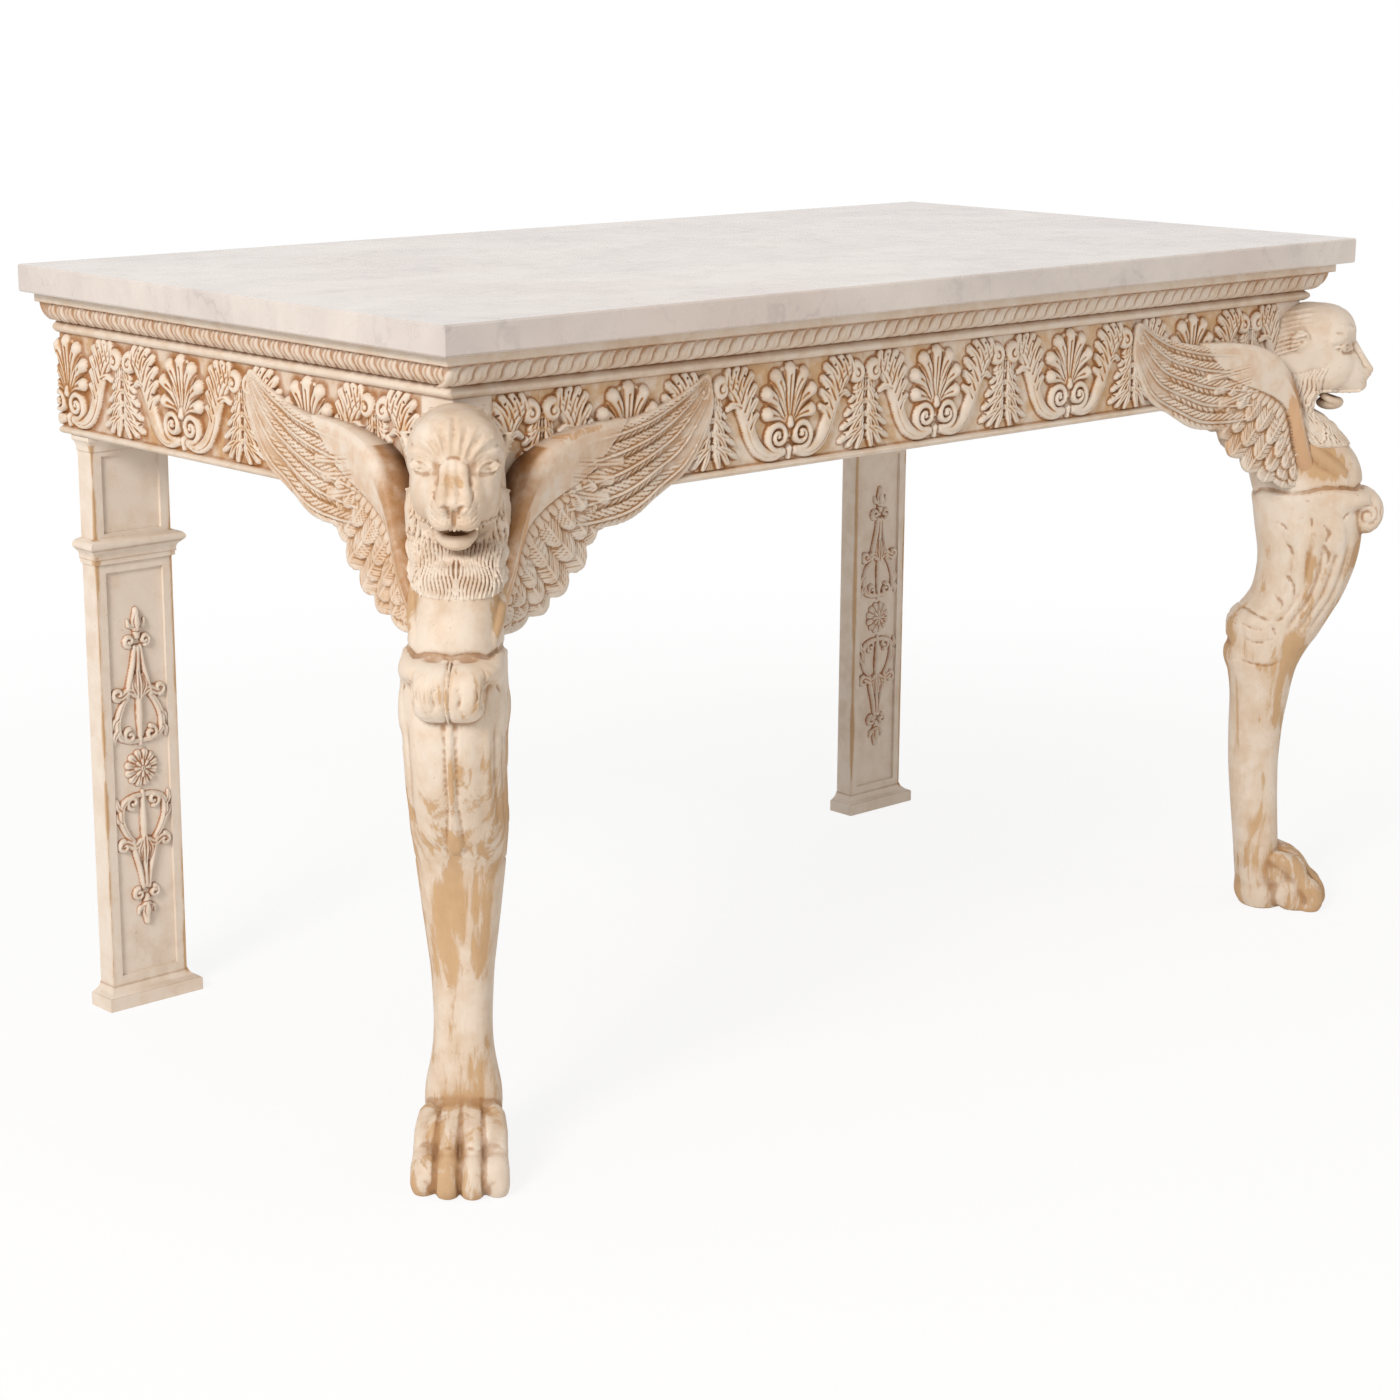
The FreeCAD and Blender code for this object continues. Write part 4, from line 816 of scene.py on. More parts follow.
def carve_wing():
    """One wing: long primaries with shafts and barbs, scalloped coverts, a smooth shoulder."""
    panel = Panel((44.5, 572), (407, 836), WING_GRID)
    stand = np.interp(panel.a, (60, 90, 120, 150, 220, 300, 330, 400),
                      (35, 37, 36, 33, 24, 18, 13, 10))[:, None]
    form = np.full(panel.h.shape, NO_FEATHER)
    tint = np.zeros(panel.h.shape)

    # Primaries: five long feathers, each with a raised shaft and slanting barbs.
    across, along, primaries = web(panel, PRIMARY_TOP, PRIMARY_FOOT)
    lane = across * 5
    x = (lane % 1.0) * 2 - 1
    length = 60 + along * 190
    vane = 3.4 * np.sqrt(np.maximum(1 - 0.95 * x ** 2, 0)) - 1.4 * x - 0.4 * np.floor(lane)
    ragged = ease(np.sin(length * 1.7 + np.floor(lane) * 2.1), -0.6, 0.4)
    off = np.abs(x - 0.1)
    barbs = comb(length + off * 13, 7.4) * ease(off, 0.16, 0.34) * (1.1 + 0.9 * ragged)
    barbs = barbs * (1 - ease(across, 0.95, 0.99))
    shaft = 2.5 * np.exp(-((x - 0.1) / 0.11) ** 4) - 1.1 * np.exp(-((off - 0.22) / 0.07) ** 2)
    level = stand - 5.5 + vane + shaft - barbs
    form = np.where(primaries, np.maximum(level, 8.2), form)
    tint = np.where(primaries, 0.45, tint)

    # Coverts: small scales by the shoulder, then wider and wider feathers.
    across, along, coverts = web(panel, COVERT_ROOT, COVERT_TIP)
    best = np.full(form.shape, ABSENT)
    for row, (start, stop, count, scallop) in enumerate(COVERT_ROWS):
        lane = along * count + (0.5 if row % 2 else 0.0)
        x = (lane % 1.0) * 2 - 1
        reach = (across - start) / (stop - start)
        limit = 1.0 - scallop * np.abs(x) ** 2.4
        inside = coverts & (reach < limit) & (reach > -0.1)
        edge = np.clip((limit - reach) / 0.14, 0, 1)
        vane = (2.9 if row else 1.5) * np.sqrt(np.maximum(1 - 0.9 * x ** 2, 0)) * np.sqrt(edge)
        barbs = comb(reach * 44 + np.abs(x) * 17, 4.8) * 1.1
        barbs = barbs * ease(np.abs(x), 0.06, 0.2) * (row > 0)
        shaft = 0.9 * np.exp(-(x / 0.09) ** 2) * edge * (row > 0)
        level = stand - (3.0 if row else 4.6) - 2.4 * row + 2.4 * reach + vane + shaft - barbs
        best = np.where(inside & (best < NO_FEATHER), level, best)
    form = np.where(best > NO_FEATHER, np.maximum(best, form), form)
    tint = np.where(best > NO_FEATHER, 0.34, tint)

    # Smooth shoulder, rolled at its front edge, that ends in tongues over the primaries.
    across, along, shoulder = web(panel, SHOULDER_LEAD, SHOULDER_INNER)
    thick = 15 - 15 * along ** 1.6
    front = np.clip(across / 0.38, 0, 1)
    back = np.clip((across - 0.38) / 0.62, 0, 1)
    roll = thick * (np.sqrt(np.maximum(1 - (1 - front) ** 2, 0)) - 0.62 * back ** 2) - 2.5
    form = np.where(shoulder, -melt(-form, -(stand + roll), 2.5), form)
    tint = np.where(shoulder, -0.15 + 0.3 * ease(across, 0.6, 1.0), tint)
    # Brown glaze and painted shade on the inner side of the shoulder roll, by the lion.
    inner = (1 - ease(across, 0.30, 0.52)) * (1 - ease(along, 0.40, 0.66))
    shade = np.where(shoulder, 1.35 * inner, 0)
    for axis in (0, 1):
        shade = np.maximum(np.maximum(shade, np.roll(shade, 1, axis)), np.roll(shade, -1, axis))
    bare = np.where(shoulder, (1 - ease(along, 0.40, 0.62)) * ease(across, 0.36, 0.6), 0)
    panel.h = form
    for start, stop, wide in (((192, 757), (258, 749), 8.5), ((184, 742), (244, 732), 8.5),
                              ((176, 727), (236, 713), 9.0)):
        middle = ((start[0] + stop[0]) / 2, (start[1] + stop[1]) / 2 - 1)
        path = bend([start, middle, stop], 6)
        base = np.interp((start[0], middle[0], stop[0]), panel.a, stand[:, 0])
        panel.ridge(path, [wide * 0.6, wide, wide], base + (-4.0, -2.2, -1.4), 0.0, 0.16)
        panel.groove(path, [1.3, 1.5, 1.2], [1.2, 1.5, 0.8])
        for side in (-0.5, 0.5):
            panel.groove(path + (0, side * wide), [1.2, 1.4, 1.0], [0.7, 1.0, 0.5])
    body = panel.h > 0
    cells = body[:-1, :-1] & body[1:, :-1] & body[1:, 1:] & body[:-1, 1:]
    panel.h = np.where(body, panel.h, 6.0)
    points, faces, hollow = board(panel, 2.0, cells)

    # The foot of the wing is undercut; its rear and its walls by the lion take brown glaze and
    # painted near-black shade.
    w, z, out = points.T
    spot = tuple(np.rint((line - start) / WING_GRID).astype(int)
                 for line, start in ((w, panel.a[0]), (z, panel.b[0])))
    wall = (np.arange(len(points)) >= len(points) // 2) & (w < 150)
    points[:, 2] = np.where((out < 2.1) & (z < 712), np.interp(z, (586, 670), (26, 7)), out)
    shaded = np.maximum(hollow, -0.6) * 0.4 + shade[spot]
    hollow = np.where(shade[spot] > 0.05, shaded, hollow + tint[spot])
    return points, faces, np.where(wall, WALL_SHADE, hollow), bare[spot]


# Frieze: a palmette over two volutes between leafy arms, and half a tassel at each side.

FRIEZE_GRID, FRIEZE_TALL, TILE_HALF, GROUND = 1.25, 110, 120.0, 0.4
ARM_LEAVES = (((62, 40), (56, 50), (50, 54), 5.6), ((66, 50), (59, 63), (52, 70), 6.6),
              ((71, 60), (62, 76), (54, 85), 7.2), ((76, 70), (68, 88), (59, 98), 7.4),
              ((82, 80), (76, 95), (69, 105), 7.0), ((90, 86), (86, 99), (81, 107), 6.4),
              ((97, 90), (96, 101), (94, 107), 5.4), ((76, 64), (86, 68), (94, 64), 5.0))


def carve_frieze(low, high):
    """One tile of the frieze, or the part of it from low to high."""
    panel = Panel((low, 0), (high, FRIEZE_TALL), FRIEZE_GRID)
    panel.h[:] = GROUND
    for side in (-1, 1):
        def turned(points):
            return [(side * p, q) for p, q in points]

        # Leafy tassel that hangs between two arms, cut by the edge of the tile.
        spine = TILE_HALF
        panel.ridge(turned([(spine, 84), (spine, 60), (spine, 36), (spine, 12)]),
                    [4, 10, 19, 25], [3.4, 3.6, 3.4, 2.6], GROUND, 0.3)
        for row, (level, out) in enumerate(((76, 14), (62, 21), (47, 28), (32, 34), (17, 38))):
            for lean, drop, wide in ((1.0, 8, 4.8), (0.66, 13, 5.4), (0.30, 16, 5.2)):
                path = bend(turned([(spine - 1.5, level + 9),
                                    (spine - out * lean * 0.55, level + 5 - drop * 0.25),
                                    (spine - out * lean, level - drop + 2)]), 6)
                panel.leaf(path, [2.6, wide, wide, wide * 0.7],
                           [5.0, 7.6 - lean, 7.4 - lean * 1.2, 5.6], GROUND + row * 0.3, 0.34)
            panel.drill((side * (spine - out * 0.82), level + 1.5), 1.9, 4.6)
            panel.groove(turned([(spine - 2.0, level + 3), (spine - 2.4, level - 5)]),
                         [1.8, 1.8], [5.6, 5.6])

        # Arm: a broad smooth band that leaves the volute, rises, and rolls over at the top.
        stem = bend(turned([(10, 9), (28, 6), (46, 14), (59, 32), (67, 55), (77, 77),
                            (90, 91), (104, 95)]), 9)
        panel.ridge(stem, [5.4, 7.0, 8.6, 9.4, 10.6, 13.0, 12.0, 7.0],
                    [6.2, 6.8, 6.8, 6.6, 6.8, 7.2, 7.4, 6.6], GROUND, 0.34)
        panel.groove(stem[4:34] + (side * 4.0, -1.6), [1.2, 1.5, 1.2], [0.8, 1.4, 0.8])
        for offset in (-6.0, -1.0, 4.5):
            path = bend(turned([(76 + offset * 0.5, 66 - offset), (84 + offset * 0.7, 82 - offset),
                                (95 + offset * 0.4, 92 - offset)]), 5)
            panel.groove(path, [1.2, 1.7, 1.2], [0.9, 1.8, 1.2])
        panel.ridge(coil((side * 105, 87), 90, 90 - side * 330, 10, 4), [5.8, 5.4, 4.6],
                    [7.6, 8.2, 7.6], GROUND)
        panel.ridge([(side * 105, 87), (side * 105.1, 87)], 5.0, 8.8, GROUND)
        for root, middle, tip, wide in ARM_LEAVES:
            path = bend(turned([root, middle, tip]), 6)
            panel.leaf(path, [wide * 0.8, wide, wide * 0.95, wide * 0.75],
                       [6.6, 7.4, 7.4, 6.2], GROUND, 0.30)
        for at in ((58, 57), (59, 73), (62, 88), (71, 99), (84, 104)):
            panel.drill((side * at[0], at[1]), 1.7, 4.2)

        # Volute under the fan.
        start = -90 - side * 10
        winding = coil((side * 18, 27), start, start + side * 560, 17.0, 3.6, 60)
        panel.ridge(winding, [5.2, 4.6, 3.8, 3.0], [6.4, 7.2, 7.8, 8.0], GROUND, 0.42, 0.4)
        panel.ridge([(side * 18, 27), (side * 18.1, 27)], 4.0, 8.6, GROUND)

    # Dished fan of seven spoon-shaped fingers, close to each other in an oval.
    panel.ridge([(0, 60), (0, 72)], [36, 33], [4.2, 4.2], GROUND, 0.2)
    turns = np.radians((-112, -74, -36, 0, 36, 74, 112))
    for angle in turns:
        end = np.array([36 * math.sin(angle), 66 + 35 * math.cos(angle)])
        root = np.array([5.0 * math.sin(angle), 42 + 2 * math.cos(angle)])
        sag = np.array([end[0] * 0.46, root[1] + (end[1] - root[1]) * 0.62])
        path = bend([root, sag, end], 8)
        panel.ridge(path, [2.2, 4.2, 7.2, 8.6], [5.4, 5.8, 7.0, 8.4], GROUND, 0.5, 0.2)
        panel.ridge([end, end + 0.1], 7.2, 9.2, GROUND, 0.5, 0.5)
        panel.groove(path[: int(len(path) * 0.84)], [1.4, 2.6, 3.4], [1.0, 2.4, 2.6])
    for angle in (turns[1:] + turns[:-1]) / 2:
        end = np.array([35 * math.sin(angle), 66 + 34 * math.cos(angle)])
        root = np.array([9 * math.sin(angle), 46 + 4 * math.cos(angle)])
        panel.groove(bend([root, ((root + end) / 2 * (1.0, 1.04)), end], 6),
                     [1.2, 1.6, 1.4], [1.4, 3.0, 2.0])
    panel.ridge([(0, 40), (0, 45)], [6.4, 5.4], [8.4, 7.4], GROUND)
    panel.ridge([(0, 12), (0, 2)], [4.8, 3.2], [6.6, 4.6], GROUND)
    panel.h = np.clip(panel.h, -0.4, 9.4)
    points, faces, hollow = board(panel, -0.6)
    # Hollows of the relief are raised toward glaze and painted shade; those on the flat ground are
    # lowered.
    return points, faces, np.where(points[:, 2] < 1.2, hollow * 0.6, hollow * 1.7)


# Pilaster ornament: candelabra of leafy scrolls above and below a rosette.

PILASTER_GRID = 1.0


def carve_pilaster():
    """The whole ornament of one pilaster; its lower half mirrors the upper."""
    panel = Panel((-40, -205), (40, 205), PILASTER_GRID)
    for turn in range(12):
        angle = math.radians(turn * 30 + 15)
        tip = np.array([math.cos(angle), math.sin(angle)])
        panel.ridge([tip * 9, tip * 19], [3.4, 5.2], [4.0, 4.6], 0, 0.5, 0.3)
        panel.groove([tip * 8, tip * 22], [1.1, 1.4], [1.2, 1.4])
    for turn in range(8):
        angle = math.radians(turn * 45)
        tip = np.array([math.cos(angle), math.sin(angle)])
        panel.ridge([tip * 5, tip * 9.5], [2.6, 3.4], [5.4, 5.2], 0, 0.5, 0.3)
    panel.ridge([(0, 0), (0.1, 0)], 4.2, 6.6)
    panel.drill((0, 0), 1.6, 2.0)
    for up in (1, -1):
        def lifted(points, steps, side=1):
            return bend([(side * p, up * q) for p, q in points], steps)

        def curled(across, level, start, sweep, wide, narrow, steps, side):
            start = start * up
            return coil((side * across, up * level), start, start + side * up * sweep,
                        wide, narrow, steps)

        panel.ridge(lifted([(0, 30), (0, 60), (0, 96), (0, 150)], 6), [3.0, 5.6, 3.4, 4.2],
                    [3.6, 5.2, 4.2, 4.6])
        for side in (-1, 1):
            outer = lifted([(2, 34), (16, 36), (29, 44), (31, 62), (24, 80), (15, 92)], 8, side)
            panel.ridge(outer, [3.4, 4.4, 5.0, 5.2, 4.8, 3.8], [3.6, 4.6, 5.0, 4.8, 4.4, 3.8])
            panel.groove(outer, [1.0, 1.3, 1.2], [1.0, 1.4, 1.0])
            panel.ridge(curled(15, 42, 90, -380, 8.5, 2.4, 30, side),
                        [3.6, 3.3, 2.8], [4.6, 4.8, 5.0])
            panel.ridge(curled(29, 96, -90, 330, 7.5, 2.4, 26, side),
                        [3.4, 3.3, 3.0], [4.4, 4.6, 5.0])
            panel.leaf(lifted([(4, 92), (14, 98), (26, 92), (34, 97)], 6, side),
                       [4.8, 6.4, 6.0, 3.2], [5.0, 5.6, 5.0, 3.8])
            panel.leaf(lifted([(32, 50), (36, 44), (37, 36)], 5, side),
                       [4.0, 5.0, 2.8], [4.4, 4.8, 3.2])
            panel.leaf(lifted([(30, 66), (35, 62), (38, 55)], 5, side),
                       [3.8, 4.8, 2.6], [4.2, 4.6, 3.0])
            rise = lifted([(17, 92), (12, 112), (7, 132), (4, 152)], 7, side)
            panel.ridge(rise, [4.0, 4.2, 3.8, 3.2], [4.4, 4.8, 4.6, 4.2])
            panel.ridge(curled(11, 160, -90, 400, 7.0, 2.0, 28, side),
                        [3.4, 3.2, 2.8], [4.6, 4.8, 5.2])
            panel.leaf(lifted([(3, 92), (8, 104), (5, 116)], 5, side),
                       [4.4, 5.4, 2.6], [5.2, 5.8, 3.8])
        panel.leaf(lifted([(0, 88), (0, 104), (0, 122)], 5), [5.4, 6.6, 2.8], [5.4, 6.4, 4.2])
        panel.ridge(lifted([(0, 165), (0, 181), (0, 197)], 6), [4.6, 8.6, 4.4], [4.8, 6.0, 4.8])
        panel.groove([(-9, up * 172.5), (0, up * 170.5), (9, up * 172.5)], [1.4, 1.5], [2.0, 2.0])
        for side in (-1, 1):
            panel.groove(lifted([(1.5, 173), (4.6, 182), (2.2, 192)], 5, side),
                         [0.9, 1.3, 0.9], [1.2, 1.9, 1.2])
            panel.leaf(lifted([(4, 176), (10, 179), (12, 186)], 5, side),
                       [2.4, 3.6, 1.8], [4.4, 4.8, 3.4])
    cover = panel.h > 0.25
    cells = cover[:-1, :-1] | cover[1:, :-1] | cover[1:, 1:] | cover[:-1, 1:]
    panel.h = np.clip(panel.h * 1.25, 0.0, 8.0)
    return board(panel, -0.6, cells)


# Mouldings run round three sides, mitred at the corners.

def run_moulding(name, plan, profile, hollow):
    """Sweeps a closed profile of (reach, height) along a plan line; outward is to the right."""
    plan, profile = np.array(plan, float), np.array(profile, float)
    ahead = np.diff(plan, axis=0)
    ahead /= np.linalg.norm(ahead, axis=1)[:, None]
    outward = np.stack([ahead[:, 1], -ahead[:, 0]], axis=1)
    rings = []
    for i, spot in enumerate(plan):
        a, b = outward[max(i - 1, 0)], outward[min(i, len(outward) - 1)]
        mitre = (a + b) / (1 + a @ b)
        rings.append([(spot[0] + mitre[0] * reach, spot[1] + mitre[1] * reach, level)
                      for reach, level in profile])
    count = len(profile)
    points = np.array(rings).reshape(-1, 3) * MM
    faces = []
    for i in range(len(plan) - 1):
        for j in range(count):
            k = (j + 1) % count
            faces.append([i * count + j, (i + 1) * count + j, (i + 1) * count + k, i * count + k])
    last = (len(plan) - 1) * count
    faces += [list(range(count))[::-1], list(range(last, last + count))]
    faces = [face[::-1] for face in faces] if turns_inward(points, faces) else faces
    item = shape_piece(name, points, faces, np.tile(hollow, len(plan)))
    item.data.set_sharp_from_angle(angle=math.radians(42))
    return item


def turns_inward(points, faces):
    """True where the faces of a closed shape point inward."""
    volume = 0.0
    for face in faces:
        for second, third in zip(face[1:], face[2:]):
            volume += points[face[0]] @ np.cross(points[second], points[third])
    return volume < 0


def bow(start, stop, bulge, steps=7):
    """Points along a shallow arc between two profile points."""
    start, stop = np.array(start, float), np.array(stop, float)
    run = stop - start
    side = np.array([run[1], -run[0]]) / np.hypot(*run)
    share = np.linspace(0, 1, steps)[:, None]
    return (start + run * share + side * bulge * 4 * share * (1 - share)).tolist()


OVOLO = ((12.4, 847.4), (25.4, 868.6))
OVOLO_BULGE = 3.0
TONGUE_ROWS, TONGUE_COLS, TONGUE_HALF = 8, 7, 8.4


def block(low, high):
    """The eight corners and six sides of a plain block."""
    xs, ys, zs = zip(low, high)
    corners = np.array([(x, y, z) for x in xs for y in ys for z in zs])
    sides = [(0, 1, 3, 2), (4, 6, 7, 5), (0, 4, 5, 1), (2, 3, 7, 6), (0, 2, 6, 4), (1, 5, 7, 3)]
    return corners, sides


def make_cornice():
    """Astragal, quirk, ovolo and fillet under the slab."""
    profile = ([(0.5, 832)] + bow((3.5, 832), (3.5, 845), 6.2) + [(5.5, 845.8)]
               + bow(*OVOLO, OVOLO_BULGE)
               + [(27.4, 869.4), (31.8, 870.0), (32, 872), (32, 881.6), (0.5, 881.6)])
    level = np.array(profile)[:, 1]
    quirk = (level > 844) & (level < 870.5) | (level < 833)
    return run_moulding("cornice_moulding", THREE_SIDES, profile, np.where(quirk, 0.85, 0))


def make_tongue():
    """One leaf of the ovolo: leaning, S-curved and rolled over at its edges."""
    rows, cols = TONGUE_ROWS, TONGUE_COLS
    points, faces, hollow = [], [], []
    low, high = np.array(OVOLO[0]), np.array(OVOLO[1])
    run = high - low
    side = np.array([run[1], -run[0]]) / np.hypot(*run)
    for layer in (1, 0):
        for i in range(rows):
            s = i / (rows - 1)
            lean = 10 * s + 2.6 * math.sin(s * 2 * math.pi)
            half = TONGUE_HALF * (0.70 + 0.42 * math.sin(math.pi * (0.18 + 0.72 * s)))
            for j in range(cols):
                x = j / (cols - 1) * 2 - 1
                skin = low + run * (0.02 + 0.97 * s) + side * OVOLO_BULGE * 4 * s * (1 - s)
                swell = 0.35 + 0.65 * math.sin(math.pi * (0.12 + 0.8 * s))
                dome = 3.5 * math.sqrt(max(1 - x * x, 0)) * swell
                vein = 0.9 * math.exp(-((x - 0.1) / 0.18) ** 2)
                lift = (dome - vein - 0.3) if layer else -1.0
                reach, level = skin + side * lift
                points.append((lean + x * half, -reach, level))
                hollow.append(0.75 if abs(x) > 0.9 else (0.40 if abs(x - 0.1) < 0.2 else -0.25))
    count = rows * cols
    for i in range(rows - 1):
        for j in range(cols - 1):
            a = i * cols + j
            faces.append([a, a + 1, a + cols + 1, a + cols])
            faces.append([count + a, count + a + cols, count + a + cols + 1, count + a + 1])
    grid = np.arange(count).reshape(rows, cols)
    rim = np.concatenate([grid[0], grid[1:, -1], grid[-1, -2::-1], grid[-2:0:-1, 0]]).tolist()
    for a, b in zip(rim, rim[1:] + rim[:1]):
        faces.append([b, a, count + a, count + b])
    return np.array(points), faces, np.array(hollow)


def socket_of(tree, name, kind, way):
    """Adds an input or output to a node group."""
    tree.interface.new_socket(name, in_out=way, socket_type="NodeSocket" + kind)


def repeat_tree():
    """Sets copies of a piece in a straight row."""
    tree = bpy.data.node_groups.new("row_of_carvings", "GeometryNodeTree")
    for name, kind in (("Geometry", "Geometry"), ("Count", "Int"), ("Start", "Vector"),
                       ("Step", "Vector"), ("Finish", "Material")):
        socket_of(tree, name, kind, "INPUT")
    socket_of(tree, "Geometry", "Geometry", "OUTPUT")
    feed = tree.nodes.new("NodeGroupInput")
    line = tree.nodes.new("GeometryNodeMeshLine")
    line.mode = "OFFSET"
    copies = tree.nodes.new("GeometryNodeInstanceOnPoints")
    real = tree.nodes.new("GeometryNodeRealizeInstances")
    paint = tree.nodes.new("GeometryNodeSetMaterial")
    out = tree.nodes.new("NodeGroupOutput")
    for source, name, target, entry in (
            (feed, "Count", line, "Count"), (feed, "Start", line, "Start Location"),
            (feed, "Step", line, "Offset"), (line, "Mesh", copies, "Points"),
            (feed, "Geometry", copies, "Instance"), (copies, "Instances", real, "Geometry"),
            (real, "Geometry", paint, "Geometry"), (feed, "Finish", paint, "Material"),
            (paint, "Geometry", out, "Geometry")):
        tree.links.new(source.outputs[name], target.inputs[entry])
    return tree


def repeat(tree, item, count, start, step, finish):
    """Runs the row tree on one piece and keeps the result as a plain mesh."""
    given = {"Count": count, "Start": start, "Step": step, "Finish": finish}
    work = item.modifiers.new("row", "NODES")
    work.node_group = tree
    for socket in tree.interface.items_tree:
        if socket.in_out == "INPUT" and socket.name in given:
            work[socket.identifier] = given[socket.name]
    bpy.context.view_layer.update()
    graph = bpy.context.evaluated_depsgraph_get()
    mesh = bpy.data.meshes.new_from_object(item.evaluated_get(graph), depsgraph=graph)
    mesh.name = item.name
    item.modifiers.remove(work)
    item.data = mesh
    return item


# Finishes.

class Bench:
    """Places and wires shader nodes."""

    def __init__(self, tree):
        self.tree = tree

    def put(self, kind, inputs=None, **settings):
        """Adds a node and wires or sets its inputs."""
        node = self.tree.nodes.new("ShaderNode" + kind)
        for name, value in settings.items():
            setattr(node, name, value)
        for key, value in (inputs or {}).items():
            entry = node.inputs[key]
            if isinstance(value, bpy.types.NodeSocket):
                self.tree.links.new(value, entry)
            else:
                entry.default_value = value
        return node

    def place(self):
        """Where a point lies on its piece."""
        return self.put("TexCoord").outputs["Object"]

    def stretch(self, place, scale, turn=(0.0, 0.0, 0.0)):
        """A place drawn out along the axes, so that a pattern on it gets a direction."""
        return self.put("Mapping", {"Vector": place, "Rotation": turn, "Scale": scale}).outputs[0]

    def noise(self, place, scale, detail=4.0, rough=0.55, twist=0.0, output="Fac"):
        return self.put("TexNoise", {
            "Vector": place, "Scale": scale, "Detail": detail, "Roughness": rough,
            "Distortion": twist}).outputs[output]

    def cracks(self, place, scale):
        """The distance to the nearest edge of a net of cells."""
        return self.put("TexVoronoi", {"Vector": place, "Scale": scale},
                        feature="DISTANCE_TO_EDGE").outputs["Distance"]

    def math(self, how, a, b=0.0):
        return self.put("Math", {0: a, 1: b}, operation=how).outputs[0]

    def plus(self, a, b):
        return self.math("ADD", a, b)

    def limit(self, value):
        return self.put("Clamp", {0: value}).outputs[0]

    def span(self, value, low, high, start=0.0, stop=1.0):
        """Eases a value from one range into another."""
        return self.put("MapRange", {
            "Value": value, "From Min": low, "From Max": high, "To Min": start, "To Max": stop},
            interpolation_type="SMOOTHSTEP").outputs["Result"]

    def mix(self, share, a, b):
        return self.put("Mix", {0: share, 6: a, 7: b}, data_type="RGBA").outputs[2]

    def dents(self, strength, depth, height):
        """The fine relief of a finish."""
        return self.put("Bump",
                        {"Strength": strength, "Distance": depth, "Height": height}).outputs[0]

    def surface(self, inputs):
        """Ends a finish with its visible surface."""
        skin = self.put("BsdfPrincipled", inputs)
        self.put("OutputMaterial", {"Surface": skin.outputs[0]})

    def some(self, value, amount):
        """A share of a value."""
        return self.math("MULTIPLY", value, amount)

    def seen(self):
        """1 where the camera, a mirror or glass sees it, 0 for the light it sheds."""
        rays = self.put("LightPath").outputs
        straight = self.math("MAXIMUM", rays["Is Camera Ray"], rays["Is Glossy Ray"])
        return self.math("MAXIMUM", straight, rays["Is Transmission Ray"])


def start_finish(name):
    """A new material, and an empty bench to wire it on."""
    finish = bpy.data.materials.new(name)
    finish.use_nodes = True
    finish.node_tree.nodes.clear()
    return finish, Bench(finish.node_tree)


# Near-black painted shade for the deepest hollows.
DEEP_SHADE = (0.105, 0.040, 0.013, 1)
MARBLE_PALE, MARBLE_GREY = (0.670, 0.600, 0.548, 1), (0.545, 0.482, 0.452, 1)
MARBLE_PINK, MARBLE_CRUMB = (0.640, 0.500, 0.430, 1), (0.500, 0.450, 0.420, 1)
MARBLE_VEIN, MARBLE_THREAD = (0.360, 0.320, 0.310, 1), (0.400, 0.340, 0.310, 1)
WOOD_DARK, WOOD_PALE = (0.270, 0.150, 0.070, 1), (0.480, 0.310, 0.165, 1)
WOOD_STREAK = (0.200, 0.105, 0.050, 1)
ZINC_PALE, ZINC_DULL = (0.520, 0.530, 0.540, 1), (0.360, 0.365, 0.370, 1)


